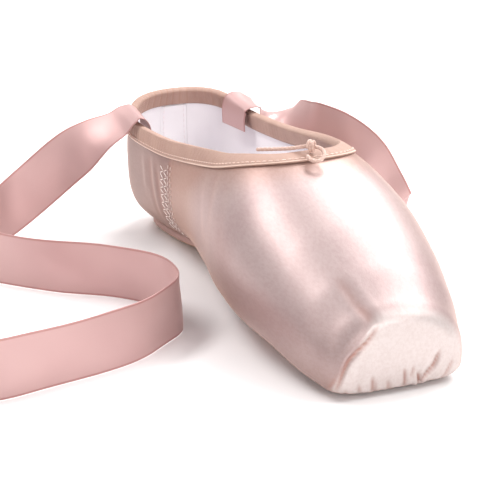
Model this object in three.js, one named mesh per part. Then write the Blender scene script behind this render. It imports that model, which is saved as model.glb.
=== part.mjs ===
// A pointe shoe on its sole: a stiff satin box with a flat platform, soft quarters, a bound
// collar with its knotted drawstring, a leather outsole, an insole and two sewn ribbons that
// lie loose on the floor. Millimetres, +X to the toe, +Y to the wearer's left, +Z up, the
// origin under the middle of the shoe on the floor.
import * as THREE from "three";

// Driving sizes of the last
const length = 240;
const ballWidth = 76;
const waistWidth = 58;
const heelWidth = 57;
const platformWidth = 51;
const throatAt = 164;
const throatHeight = 64;
const boxHeight = 50;
const platformHeight = 30;
const heelHeight = 58;
const quarterHeight = 50;
const waistHeight = 52;
const wingHeight = 60.5;
const archLift = 5;
const toeSpring = 1.2;
const heelRadius = 27;
const platformFillet = 5;
const throatHalfWidth = 21.5;
const throatDepth = 16;
const throatSquareness = 3.5;
const wingRadius = 6;
const planSquareness = 2.3;

// Walls, layers and clearances
const quarterWall = 1.6;
const boxWall = 3;
const platformWall = 4.5;
const outsoleThickness = 2.7;
const insoleThickness = 2.4;
const clearance = 0.3;
const bedding = 0.4;
const bindingWidth = 6.5;
const bindingThickness = 0.8;
const bindingRounding = 0.6;
const bevel = 0.8;
const skiving = 1.2;

// Outsole, lasting margin and insole, seen from above
const outsoleBallWidth = 48;
const outsoleWaistWidth = 28;
const outsoleHeelWidth = 37;
const outsoleToeInset = 19;
const outsoleHeelInset = 9;
const marginOverlap = 6;
const insoleBallWidth = 54;
const insoleWaistWidth = 38;
const insoleHeelWidth = 41;
const insoleToeInset = 17;
const insoleHeelInset = 14;
const endRounding = 0.95;
const endSquareness = 2.4;

// Ribbons and drawstring
const ribbonWidth = 22;
const ribbonThickness = 0.7;
const cordRadius = 0.9;
const knotRadius = 1.95;
const knotThickness = 0.7;

const underside = outsoleThickness + bedding;

// The last, one row for each station along the shoe. at is the share of the length, half the
// half width, lift the rise of the sole line, which falls to the floor past the outsole's
// toe end, crown the height where the section would close, wide the share of that height
// where the section is widest, low and high the squareness of the section below and above it.
const heelCrown = heelHeight + 14;
const waistCrown = 0.5 * (heelCrown + throatHeight + 4);
const boxHalf = 0.5 * platformWidth + 0.07 * ballWidth;
const boxCrown = 0.5 * (boxHeight + platformHeight);
const heelHalf = 0.5 * heelWidth;
const ballHalf = 0.5 * ballWidth;
const waistHalf = 0.5 * waistWidth;
const toeHalf = 0.5 * platformWidth;
const archStart = 0.25 * archLift;
const archEnd = 0.45 * archLift;
const sinking = -underside;
const toeDrop = toeSpring - underside;
const stations = [
  { at: 0, half: 0.98 * heelHalf, lift: 0, crown: heelCrown, wide: 0.42, low: 3.3, high: 2.3 },
  { at: 0.11, half: heelHalf, lift: 0, crown: heelCrown + 3, wide: 0.4, low: 3.3, high: 2.3 },
  { at: 0.22, half: 1.01 * heelHalf, lift: archStart, crown: heelCrown + 4, wide: 0.4, low: 3.1, high: 2.3 },
  { at: 0.375, half: waistHalf, lift: archLift, crown: heelCrown + 2, wide: 0.4, low: 2.9, high: 2.3 },
  { at: 0.54, half: 0.86 * ballHalf, lift: archEnd, crown: waistCrown, wide: 0.4, low: 2.9, high: 2.3 },
  { at: 0.64, half: 0.956 * ballHalf, lift: 0, crown: throatHeight + 3.2, wide: 0.4, low: 2.9, high: 2.3 },
  { at: 0.735, half: ballHalf, lift: 0, crown: throatHeight - 3.6, wide: 0.4, low: 2.9, high: 2.3 },
  { at: 0.84, half: 0.926 * ballHalf, lift: 0, crown: boxHeight, wide: 0.37, low: 3, high: 2.25 },
  { at: 0.92, half: boxHalf, lift: 0.4 * sinking, crown: boxCrown, wide: 0.34, low: 3.7, high: 2.2 },
  { at: 1, half: toeHalf, lift: toeDrop, crown: platformHeight, wide: 0.3, low: 4.4, high: 2.15 },
];

// The thickness of the upper's wall along the shoe
const wallPlan = [
  { at: 0.54, wall: quarterWall },
  { at: 0.64, wall: 1.2 * quarterWall },
  { at: 0.735, wall: 0.8 * boxWall },
  { at: 0.84, wall: boxWall },
];

// The collar's height along the shoe, from the heel to the throat
const collarLine = [
  { at: 0, height: heelHeight },
  { at: 0.3 * heelRadius, height: heelHeight - 1.5 },
  { at: heelRadius, height: quarterHeight },
  { at: 0.4 * throatAt, height: waistHeight },
  { at: 0.8 * throatAt, height: wingHeight },
  { at: throatAt, height: throatHeight },
];

// Half widths of the outsole and of the insole, by share of the length
const outsolePlan = [
  { at: 0, half: 0.46 * outsoleHeelWidth },
  { at: 0.14, half: 0.5 * outsoleHeelWidth },
  { at: 0.4, half: 0.5 * outsoleWaistWidth },
  { at: 0.72, half: 0.5 * outsoleBallWidth },
  { at: 0.88, half: 0.44 * outsoleBallWidth },
  { at: 1, half: 0.4 * outsoleBallWidth },
];
const insolePlan = [
  { at: 0, half: 0.47 * insoleHeelWidth },
  { at: 0.14, half: 0.5 * insoleHeelWidth },
  { at: 0.4, half: 0.5 * insoleWaistWidth },
  { at: 0.72, half: 0.5 * insoleBallWidth },
  { at: 0.88, half: 0.45 * insoleBallWidth },
  { at: 1, half: 0.38 * insoleBallWidth },
];

// Where the ribbons leave the collar, as a share of the length
const ribbonRoot = 0.125;

// The ribbons' middle lines, from the seam inside the collar to the cut end. ahead of the root
// and out from the quarter's skin are in ribbon widths, height is a share of the collar's and 0
// on the floor, turn and tilt are the bearing and the slope of the ribbon's width in degrees.
const rightRoute = [
  { ahead: 0, out: -0.24, height: 0.85, turn: 176, tilt: 3 },
  { ahead: 0, out: -0.23, height: 0.98, turn: 176, tilt: 3 },
  { ahead: -0.01, out: -0.16, height: 1.072, turn: 176, tilt: 3 },
  { ahead: -0.02, out: -0.03, height: 1.108, turn: 178, tilt: 4 },
  { ahead: -0.05, out: 0.13, height: 1.078, turn: 184, tilt: 5 },
  { ahead: -0.1, out: 0.33, height: 1.006, turn: 190, tilt: 9 },
  { ahead: -0.2, out: 0.78, height: 0.9, turn: 202, tilt: 22 },
  { ahead: -0.32, out: 1.37, height: 0.72, turn: 230, tilt: 48 },
  { ahead: -0.36, out: 2.01, height: 0.51, turn: 246, tilt: 56 },
  { ahead: -0.27, out: 2.64, height: 0.33, turn: 252, tilt: 68 },
  { ahead: 0.09, out: 3.24, height: 0, turn: 254, tilt: 88 },
  { ahead: 0.64, out: 3.64, height: 0, turn: 254, tilt: 90 },
  { ahead: 1.32, out: 3.67, height: 0, turn: 254, tilt: 90 },
  { ahead: 2, out: 3.24, height: 0, turn: 254, tilt: 90 },
  { ahead: 2.77, out: 2.55, height: 0, turn: 254, tilt: 90 },
  { ahead: 3.5, out: 1.64, height: 0, turn: 254, tilt: 90 },
  { ahead: 4.36, out: 1.03, height: 0, turn: 254, tilt: 90 },
  { ahead: 5.09, out: 0.9, height: 0, turn: 254, tilt: 90 },
  { ahead: 5.64, out: 1.01, height: 0, turn: 254, tilt: 90 },
  { ahead: 6.09, out: 1.42, height: 0, turn: 254, tilt: 90 },
  { ahead: 6.55, out: 1.96, height: 0, turn: 254, tilt: 90 },
  { ahead: 6.86, out: 2.76, height: 0, turn: 254, tilt: 90 },
  { ahead: 7.11, out: 3.78, height: 0, turn: 254, tilt: 90 },
  { ahead: 7.23, out: 4.6, height: 0, turn: 254, tilt: 90 },
  { ahead: 6.95, out: 5.33, height: 0, turn: 254, tilt: 90 },
  { ahead: 6.27, out: 5.64, height: 0, turn: 247, tilt: 90 },
  { ahead: 5.59, out: 5.37, height: 0, turn: 250, tilt: 70 },
  { ahead: 4.86, out: 5.08, height: 0, turn: 262, tilt: 35 },
  { ahead: 4.09, out: 5.01, height: 0, turn: 276, tilt: 4 },
  { ahead: 3.32, out: 5.19, height: 0, turn: 288, tilt: 0 },
  { ahead: 2.64, out: 5.51, height: 0, turn: 296, tilt: 0 },
];
const leftRoute = [
  { ahead: -0.14, out: -0.28, height: 0.85, turn: 187, tilt: 5 },
  { ahead: -0.14, out: -0.27, height: 0.992, turn: 187, tilt: 5 },
  { ahead: -0.13, out: -0.21, height: 1.098, turn: 187, tilt: 6 },
  { ahead: -0.1, out: -0.05, height: 1.136, turn: 184, tilt: 7 },
  { ahead: -0.07, out: 0.13, height: 1.104, turn: 181, tilt: 8 },
  { ahead: 0, out: 0.33, height: 1.02, turn: 174, tilt: -10 },
  { ahead: 0.23, out: 0.58, height: 0.95, turn: 154, tilt: 6 },
  { ahead: 0.64, out: 0.7, height: 0.93, turn: 130, tilt: 44 },
  { ahead: 1.16, out: 0.76, height: 0.94, turn: 116, tilt: 70 },
  { ahead: 1.68, out: 0.85, height: 0.96, turn: 112, tilt: 78 },
  { ahead: 2.23, out: 1.07, height: 0.92, turn: 112, tilt: 74 },
  { ahead: 2.68, out: 1.35, height: 0.78, turn: 112, tilt: 66 },
  { ahead: 2.95, out: 1.58, height: 0.54, turn: 112, tilt: 70 },
  { ahead: 3.09, out: 1.8, height: 0.32, turn: 112, tilt: 80 },
  { ahead: 3, out: 2.08, height: 0, turn: 112, tilt: 90 },
  { ahead: 2.55, out: 2.3, height: 0, turn: 112, tilt: 90 },
  { ahead: 1.73, out: 2.37, height: 0, turn: 112, tilt: 90 },
  { ahead: 0.73, out: 2.33, height: 0, turn: 112, tilt: 90 },
  { ahead: -0.27, out: 2.21, height: 0, turn: 112, tilt: 90 },
  { ahead: -1.27, out: 2.01, height: 0, turn: 112, tilt: 90 },
  { ahead: -2, out: 1.64, height: 0, turn: 112, tilt: 90 },
  { ahead: -2.27, out: 1.14, height: 0, turn: 112, tilt: 90 },
  { ahead: -1.95, out: 0.76, height: 0, turn: 112, tilt: 90 },
  { ahead: -1.23, out: 0.74, height: 0, turn: 112, tilt: 90 },
  { ahead: -0.36, out: 0.94, height: 0, turn: 112, tilt: 90 },
  { ahead: 0.55, out: 1.1, height: 0, turn: 112, tilt: 90 },
  { ahead: 1.36, out: 1.05, height: 0, turn: 112, tilt: 90 },
  { ahead: 2, out: 0.99, height: 0, turn: 112, tilt: 90 },
  { ahead: 2.36, out: 1.19, height: 0, turn: 112, tilt: 90 },
  { ahead: 2.14, out: 1.53, height: 0, turn: 112, tilt: 90 },
  { ahead: 1.45, out: 1.69, height: 0, turn: 112, tilt: 90 },
  { ahead: 0.55, out: 1.74, height: 0, turn: 112, tilt: 90 },
  { ahead: -0.09, out: 1.64, height: 0, turn: 112, tilt: 90 },
  { ahead: -0.64, out: 1.56, height: 0, turn: 112, tilt: 90 },
  { ahead: -1.18, out: 1.44, height: 0, turn: 112, tilt: 90 },
  { ahead: -1.55, out: 1.3, height: 0, turn: 112, tilt: 90 },
];

// The drawstring from the right wing through its knot to the end of its small loop, in cord
// radii from the throat's edge
const drawstringRoute = [
  { ahead: -14.4, left: -17.8, up: 1.6 },
  { ahead: -9.4, left: -11.7, up: 2.2 },
  { ahead: -5, left: -6.1, up: 2.9 },
  { ahead: 1, left: 0.7, up: 4.5 },
  { ahead: 4.9, left: 3.7, up: 3.6 },
  { ahead: 8.4, left: 3, up: 1.7 },
  { ahead: 9.8, left: 0, up: 0.4 },
  { ahead: 8, left: -2.7, up: 0.8 },
  { ahead: 5.2, left: -3.2, up: 2 },
];
const knotRow = 3;

// How finely the faces follow the last
const outlineSteps = 400;
const heelDensity = 1.4;
const platformDensity = 2;
const platformShare = 0.9;
const endShare = 0.125;
const uprightShare = 0.499;
const raysPerSide = 40;
const rowsUpper = 15;
const turnWeight = 7;
const profileSteps = 240;
const soleStations = 26;
const soleColumns = [-1, -0.9, -0.6, -0.25, 0.25, 0.6, 0.9, 1];
const ribbonSteps = 84;
const cordSides = 8;
const cordSteps = 28;

const fanCentre = 0.86 * throatAt;
const coreHeight = 0.5 * heelHeight;

const clamp = (v, low, high) => Math.min(high, Math.max(low, v));
const mix = (a, b, t) => a + (b - a) * t;

// A monotone cubic through the rows of a table, one column of it
function curveThrough(rows, column, scale) {
  const x = rows.map((r) => r.at * scale);
  const y = rows.map((r) => r[column]);
  const slope = x.slice(1).map((v, i) => (y[i + 1] - y[i]) / (v - x[i]));
  const tangent = x.map((_, i) => {
    if (i === 0 || i === x.length - 1) return 0;
    const [a, b] = [slope[i - 1], slope[i]];
    return a * b <= 0 ? 0 : (2 * a * b) / (a + b);
  });
  return (v) => {
    const u = clamp(v, x[0], x[x.length - 1]);
    let i = 0;
    while (i < x.length - 2 && u > x[i + 1]) i += 1;
    const h = x[i + 1] - x[i];
    const t = (u - x[i]) / h;
    const [t2, t3] = [t * t, t * t * t];
    return (
      (2 * t3 - 3 * t2 + 1) * y[i] +
      (t3 - 2 * t2 + t) * h * tangent[i] +
      (3 * t2 - 2 * t3) * y[i + 1] +
      (t3 - t2) * h * tangent[i + 1]
    );
  };
}

const last = {};
for (const column of ["half", "lift", "crown", "wide", "low", "high"]) {
  last[column] = curveThrough(stations, column, length);
}
const wallThickness = curveThrough(wallPlan, "wall", length);
const collarHeight = curveThrough(collarLine, "height", 1);

// The radius of a rounded square of a given squareness
const roundSum = (a, b, n) => Math.pow(Math.pow(a, n) + Math.pow(b, n), 1 / n);

// How far a point lies outside the last, in millimetres, negative inside it
function outside(x, y, z) {
  const at = Math.max(x, heelRadius);
  const half = last.half(at);
  const bottom = underside + last.lift(x);
  const crown = last.crown(x);
  const widest = bottom + last.wide(x) * (crown - bottom);
  const above = z >= widest;
  const rise = above ? (z - widest) / (crown - widest) : (widest - z) / (widest - bottom);
  const n = above ? last.high(x) : last.low(x);
  const back = Math.max(0, heelRadius - x) / heelRadius;
  const across = Math.abs(y) / half;
  const plan = roundSum(back, across, planSquareness);
  const ring = roundSum(plan, rise, n);
  const side = (ring - 1) * half;
  const front = x - length;
  const r = platformFillet;
  if (side > -r && front > -r) return Math.hypot(side + r, front + r) - r;
  return Math.max(side, front);
}

// The outward direction of the last at a point of its skin
function outward(p) {
  const step = 0.05;
  return new THREE.Vector3(
    outside(p.x + step, p.y, p.z) - outside(p.x - step, p.y, p.z),
    outside(p.x, p.y + step, p.z) - outside(p.x, p.y - step, p.z),
    outside(p.x, p.y, p.z + step) - outside(p.x, p.y, p.z - step),
  ).normalize();
}

// Where a ray from inside the last meets its skin
function skin(centre, direction) {
  let near = 0;
  let far = length;
  for (let i = 0; i < 40; i += 1) {
    const middle = 0.5 * (near + far);
    const p = centre.clone().addScaledVector(direction, middle);
    if (outside(p.x, p.y, p.z) < 0) near = middle;
    else far = middle;
  }
  return centre.clone().addScaledVector(direction, near);
}

// The height of the last's underside above a point of the floor plan
function under(x, y) {
  let low = 0;
  let high = coreHeight;
  for (let i = 0; i < 40; i += 1) {
    const middle = 0.5 * (low + high);
    if (outside(x, y, middle) < 0) high = middle;
    else low = middle;
  }
  return high;
}

// The shoe's outline from above on the +Y side, heel to platform, as spaced points that lie
// closer round the heel and closest round the platform
function planOutline() {
  const fine = [];
  for (let i = 0; i <= outlineSteps; i += 1) {
    const share = i / outlineSteps;
    const along = clamp((1 + 2 * endShare) * share - endShare, 0, 1);
    const centre = new THREE.Vector3(mix(heelRadius, fanCentre, along), 0, 0.5 * coreHeight);
    const turn = share * Math.PI;
    fine.push(skin(centre, new THREE.Vector3(-Math.cos(turn), Math.sin(turn), 0)));
  }
  const reach = [0];
  for (let i = 1; i < fine.length; i += 1) {
    let density = 1;
    if (fine[i].x < heelRadius) density = heelDensity;
    if (fine[i].x > platformShare * length) density = platformDensity;
    reach.push(reach[i - 1] + density * fine[i].distanceTo(fine[i - 1]));
  }
  const total = reach[reach.length - 1];
  return Array.from({ length: raysPerSide + 1 }, (_, k) => {
    const want = (k / raysPerSide) * total;
    const i = Math.max(1, reach.findIndex((v) => v >= want - 1e-6));
    return fine[i - 1].clone().lerp(fine[i], (want - reach[i - 1]) / (reach[i] - reach[i - 1]));
  });
}

// One profile of the upper: the skin met by the rays of one upright half plane, from the edge
// of the sole opening out and up to the collar
function profile(target) {
  const centre = new THREE.Vector3(clamp(target.x, heelRadius, fanCentre), 0, coreHeight);
  const heading = new THREE.Vector3(target.x - centre.x, target.y, 0).normalize();
  const reachOut = Math.hypot(target.x - centre.x, target.y);
  const outsoleEdge = outsoleReach(centre.x, heading);
  const opening = Math.min(outsoleEdge - marginOverlap, reachOut - marginOverlap);
  const points = [];
  for (let i = 0; i <= profileSteps; i += 1) {
    const tilt = mix(-uprightShare, uprightShare, i / profileSteps) * Math.PI;
    const direction = heading.clone().multiplyScalar(Math.cos(tilt));
    direction.z = Math.sin(tilt);
    points.push(skin(centre, direction));
  }
  const past = (p) => {
    const sweep = Math.pow(Math.abs(p.y) / throatHalfWidth, throatSquareness);
    const behindThroat = throatAt - throatDepth * sweep - p.x;
    const aboveCollar = p.z - collarHeight(p.x);
    const corner = Math.hypot(wingRadius - behindThroat, wingRadius - aboveCollar);
    const rounded = behindThroat < wingRadius && aboveCollar < wingRadius;
    return rounded ? wingRadius - corner : Math.min(behindThroat, aboveCollar);
  };
  const radial = (p) => Math.hypot(p.x - centre.x, p.y);
  const first = points.findIndex((p, i) => i > 0 && radial(p) > opening);
  const stop = points.findIndex((p, i) => i > profileSteps / 3 && past(p) > 0);
  const cross = (a, b, fa, fb) => a.clone().lerp(b, fa / (fa - fb));
  const [a, b] = [points[first - 1], points[first]];
  const start = cross(a, b, radial(a) - opening, radial(b) - opening);
  const [c, d] = [points[stop - 1], points[stop]];
  const edge = cross(c, d, past(c), past(d));
  return [start, ...points.slice(first, stop), edge];
}

// How far the outsole's edge lies from a centre line point, along a heading
function outsoleReach(fromX, heading) {
  let reach = 2;
  while (reach < length) {
    const x = fromX + heading.x * reach;
    const y = Math.abs(heading.y) * reach;
    if (y > soleHalf(outsolePlan, x, outsoleHeelInset, length - outsoleToeInset)) return reach;
    reach += 0.25;
  }
  return reach;
}

// The half width of a sole layer at x, rounded off at its two ends
function soleHalf(plan, x, from, to) {
  const half = curveThrough(plan, "half", length)(x);
  const round = endRounding * half;
  if (x <= from || x >= to) return 0;
  const inset = Math.min(x - from, to - x);
  if (inset >= round) return half;
  return half * Math.sqrt(1 - Math.pow(1 - inset / round, endSquareness));
}

// A point of a profile at a distance below its upper end
function below(points, distance) {
  let left = distance;
  for (let i = points.length - 1; i > 0; i -= 1) {
    const step = points[i].distanceTo(points[i - 1]);
    if (left <= step) return points[i].clone().lerp(points[i - 1], left / step);
    left -= step;
  }
  return points[0].clone();
}

// The length of a line of points
const arcLength = (points) =>
  points.slice(1).reduce((sum, p, i) => sum + p.distanceTo(points[i]), 0);

// The wall of the upper at a point, thicker behind the platform
function wallAt(p) {
  const nearPlatform = clamp((p.x - (length - 2 * platformFillet)) / platformFillet, 0, 1);
  return mix(wallThickness(p.x), platformWall, nearPlatform);
}

// A closed tube of quads: rings of the same number of points, joined in a loop. Facing skins
// split their quads along the same diagonals, so one of the two solids has them turned.
function ringSolid(rings, turned = false) {
  const count = rings[0].length;
  const position = rings.flat().flatMap((p) => [p.x, p.y, p.z]);
  const index = [];
  rings.forEach((_, r) => {
    const next = (r + 1) % rings.length;
    for (let i = 0; i < count; i += 1) {
      const j = (i + 1) % count;
      const [a, b, c, d] = [r * count + i, r * count + j, next * count + j, next * count + i];
      if (turned) index.push(a, b, d, b, c, d);
      else index.push(a, b, c, a, c, d);
    }
  });
  const geometry = new THREE.BufferGeometry();
  geometry.setAttribute("position", new THREE.Float32BufferAttribute(position, 3));
  geometry.setIndex(index);
  return geometry;
}

// A closed slab of quads between two grids of the same size
function slabSolid(top, bottom) {
  const [rows, columns] = [top.length, top[0].length];
  const position = [...top.flat(), ...bottom.flat()].flatMap((p) => [p.x, p.y, p.z]);
  const at = (layer, r, c) => layer * rows * columns + r * columns + c;
  const index = [];
  const quad = (a, b, c, d) => index.push(a, b, c, a, c, d);
  for (let r = 0; r < rows - 1; r += 1) {
    for (let c = 0; c < columns - 1; c += 1) {
      quad(at(0, r, c), at(0, r + 1, c), at(0, r + 1, c + 1), at(0, r, c + 1));
      quad(at(1, r, c), at(1, r, c + 1), at(1, r + 1, c + 1), at(1, r + 1, c));
    }
    quad(at(0, r, 0), at(1, r, 0), at(1, r + 1, 0), at(0, r + 1, 0));
    const end = columns - 1;
    quad(at(0, r, end), at(0, r + 1, end), at(1, r + 1, end), at(1, r, end));
  }
  for (let c = 0; c < columns - 1; c += 1) {
    quad(at(0, 0, c), at(0, 0, c + 1), at(1, 0, c + 1), at(1, 0, c));
    const end = rows - 1;
    quad(at(0, end, c), at(1, end, c), at(1, end, c + 1), at(0, end, c + 1));
  }
  const geometry = new THREE.BufferGeometry();
  geometry.setAttribute("position", new THREE.Float32BufferAttribute(position, 3));
  geometry.setIndex(index);
  return geometry;
}

const halfProfiles = planOutline().map(profile);
const mirrored = (p) => new THREE.Vector3(p.x, -p.y, p.z);
const profiles = [
  ...halfProfiles,
  ...halfProfiles
    .slice(1, -1)
    .reverse()
    .map((points) => points.map(mirrored)),
];

// Points spread along a profile up to the binding's lower edge, closer where the skin turns
function spread(points, count) {
  const total = arcLength(points);
  const top = below(points, bindingWidth);
  const stretch = [];
  let gone = 0;
  for (let i = 0; i < points.length && gone < total - bindingWidth; i += 1) {
    stretch.push(points[i]);
    if (i + 1 < points.length) gone += points[i].distanceTo(points[i + 1]);
  }
  stretch.push(top);
  const normals = stretch.map(outward);
  const measure = [0];
  for (let i = 1; i < stretch.length; i += 1) {
    const turn = normals[i].distanceTo(normals[i - 1]);
    measure.push(measure[i - 1] + stretch[i].distanceTo(stretch[i - 1]) + turnWeight * turn);
  }
  return Array.from({ length: count }, (_, k) => {
    const want = (k / (count - 1)) * measure[measure.length - 1];
    const i = Math.max(1, measure.findIndex((v) => v >= want - 1e-9));
    const step = measure[i] - measure[i - 1];
    return stretch[i - 1].clone().lerp(stretch[i], step > 0 ? (want - measure[i - 1]) / step : 0);
  });
}

// The upper: each ring runs up the outside to the collar and back down the inside
function upper() {
  const rings = profiles.map((points) => {
    const outer = spread(points, rowsUpper);
    outer.push(points[points.length - 1].clone());
    const inner = outer.map((p) => p.clone().addScaledVector(outward(p), -wallAt(p)));
    return [...outer, ...inner.reverse()];
  });
  return ringSolid(rings);
}

// The collar binding: a folded strip over the collar's edge, outside and inside
function collarBinding() {
  const out = clearance + bindingThickness;
  const round = bindingRounding * bindingThickness;
  const rings = profiles.map((points) => {
    const edge = points[points.length - 1];
    const up = edge.clone().sub(below(points, 1)).normalize();
    const wall = wallAt(edge);
    const section = [
      { down: bindingWidth, off: clearance },
      { down: bindingWidth, off: out },
      { down: 0, off: out },
      { down: -out, off: out - round },
      { down: -out, off: -wall - out + round },
      { down: 0, off: -wall - out },
      { down: bindingWidth, off: -wall - out },
      { down: bindingWidth, off: -wall - clearance },
      { down: -clearance, off: -wall - clearance },
      { down: -clearance, off: clearance },
    ];
    return section.map(({ down, off }) => {
      const base = below(points, Math.max(0, down));
      return base
        .clone()
        .addScaledVector(up, Math.max(0, -down))
        .addScaledVector(outward(base), off);
    });
  });
  return ringSolid(rings, true);
}

// A layer of the sole: a slab between two height functions over a rounded plan
function soleLayer(plan, from, to, topAt, bottomAt) {
  const [top, bottom] = [[], []];
  for (let i = 0; i <= soleStations; i += 1) {
    const share = 0.5 - 0.5 * Math.cos((Math.PI * (i + 0.35)) / (soleStations + 0.7));
    const x = mix(from, to, share);
    const half = soleHalf(plan, x, from, to);
    const rowAt = (heightAt) =>
      soleColumns.map((c) => new THREE.Vector3(x, c * half, heightAt(x, c * half, Math.abs(c))));
    top.push(rowAt(topAt));
    bottom.push(rowAt(bottomAt));
  }
  return slabSolid(top, bottom);
}

// The outsole, flat on the floor, its rim following the last where that rises
function outsole() {
  const seam = (x, y) => {
    const p = new THREE.Vector3(x, y, under(x, y));
    return p.z - bedding / Math.abs(outward(p).z);
  };
  return soleLayer(
    outsolePlan,
    outsoleHeelInset,
    length - outsoleToeInset,
    seam,
    (x, y, c) => {
      const rim = Math.max(0, last.lift(x), seam(x, y) - outsoleThickness - skiving);
      return c === 1 ? Math.min(rim + bevel, seam(x, y) - bevel) : rim;
    },
  );
}

// The insole on the upper's margins
function insole() {
  const seat = (x, y) => {
    const p = new THREE.Vector3(x, y, under(x, y));
    return p.z + (wallAt(p) + bedding) / Math.abs(outward(p).z);
  };
  return soleLayer(
    insolePlan,
    insoleHeelInset,
    length - insoleToeInset,
    (x, y) => seat(x, y) + insoleThickness,
    seat,
  );
}

// A ribbon on one side of the shoe, left 1 and right -1: a thin band along its route
function ribbon(route, side) {
  const rootX = ribbonRoot * length;
  const rootHeight = collarHeight(rootX);
  const heading = new THREE.Vector3(0, side, 0);
  const rootSkin = skin(new THREE.Vector3(rootX, 0, rootHeight), heading);
  const onFloor = (tilt) =>
    0.5 * (ribbonWidth * Math.sin(tilt) + ribbonThickness * Math.cos(tilt)) + clearance;
  const middle = route.map(({ ahead, out, height, tilt }) => {
    const x = rootX + ahead * ribbonWidth;
    const y = rootSkin.y + side * out * ribbonWidth;
    const z = Math.max(height * rootHeight, onFloor(THREE.MathUtils.degToRad(tilt)));
    return new THREE.Vector3(x, y, z);
  });
  const curve = new THREE.CatmullRomCurve3(middle);
  const rows = route.map((row, i) => ({ ...row, at: i }));
  const turnAt = curveThrough(rows, "turn", 1);
  const tiltAt = curveThrough(rows, "tilt", 1);
  const [top, bottom] = [[], []];
  for (let i = 0; i <= ribbonSteps; i += 1) {
    const t = i / ribbonSteps;
    const row = t * (rows.length - 1);
    const turn = THREE.MathUtils.degToRad(turnAt(row));
    const tilt = THREE.MathUtils.degToRad(tiltAt(row));
    const along = curve.getTangent(t);
    const across = new THREE.Vector3(Math.cos(turn), Math.sin(turn), 0)
      .multiplyScalar(Math.cos(tilt))
      .setComponent(2, Math.sin(tilt));
    across.addScaledVector(along, -across.dot(along)).normalize();
    const face = along.clone().cross(across);
    const centre = curve.getPoint(t);
    centre.z = Math.max(centre.z, onFloor(tilt));
    const rowAt = (offset) =>
      [-0.5, 0, 0.5].map((share) =>
        centre
          .clone()
          .addScaledVector(across, share * ribbonWidth)
          .addScaledVector(face, offset),
      );
    top.push(rowAt(0.5 * ribbonThickness));
    bottom.push(rowAt(-0.5 * ribbonThickness));
  }
  return slabSolid(top, bottom);
}

// The drawstring's line, from the top of the throat's edge
function drawstringCurve() {
  const throat = skin(new THREE.Vector3(throatAt, 0, coreHeight), new THREE.Vector3(0, 0, 1));
  return new THREE.CatmullRomCurve3(
    drawstringRoute.map(({ ahead, left, up }) =>
      new THREE.Vector3(ahead, left, up).multiplyScalar(cordRadius).add(throat),
    ),
  );
}

function drawstring() {
  const section = new THREE.Shape(
    Array.from({ length: cordSides }, (_, i) => {
      const turn = (2 * Math.PI * i) / cordSides;
      return new THREE.Vector2(cordRadius * Math.cos(turn), cordRadius * Math.sin(turn));
    }),
  );
  return new THREE.ExtrudeGeometry(section, {
    steps: cordSteps,
    bevelEnabled: false,
    extrudePath: drawstringCurve(),
  });
}

// The knot: a ring drawn tight round the drawstring
function drawstringKnot() {
  const ring = new THREE.TorusGeometry(knotRadius, knotThickness, cordSides, 2 * cordSides);
  const curve = drawstringCurve();
  const t = knotRow / (drawstringRoute.length - 1);
  const turn = new THREE.Quaternion().setFromUnitVectors(
    new THREE.Vector3(0, 0, 1),
    curve.getTangent(t),
  );
  const centre = curve.getPoint(t);
  return ring.applyQuaternion(turn).translate(centre.x, centre.y, centre.z);
}

const finish = (color, roughness) => new THREE.MeshStandardMaterial({ color, roughness, metalness: 0 });
const satin = finish(0xe3cfca, 0.35);
const bindingCloth = finish(0xd9b9a8, 0.6);
const soleLeather = finish(0xc9a98c, 0.7);
const sockCloth = finish(0xcbbecb, 0.85);
const ribbonSatin = finish(0xd3aaa6, 0.4);

function piece(name, geometry, material) {
  const mesh = new THREE.Mesh(geometry, material);
  mesh.name = name;
  return mesh;
}

const shoe = new THREE.Group();
shoe.add(piece("outsole", outsole(), soleLeather));
shoe.add(piece("upper", upper(), satin));
shoe.add(piece("insole", insole(), sockCloth));
shoe.add(piece("collar_binding", collarBinding(), bindingCloth));

// The middle of the shoe's own box, without ribbons, goes over the origin
const box = new THREE.Box3().setFromObject(shoe);
shoe.position.set(-0.5 * (box.min.x + box.max.x), 0, 0);

shoe.add(piece("drawstring", drawstring(), bindingCloth));
shoe.add(piece("drawstring_knot", drawstringKnot(), bindingCloth));
shoe.add(piece("ribbon_right", ribbon(rightRoute, -1), ribbonSatin));
shoe.add(piece("ribbon_left", ribbon(leftRoute, 1), ribbonSatin));

export default shoe;
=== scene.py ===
"""Looks of the pointe shoe: satin over a stiffened box, a bound and gathered collar with its
knotted drawstring, a sock and heel tape inside, a leather outsole and two ankle ribbons."""

from collections import namedtuple

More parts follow.
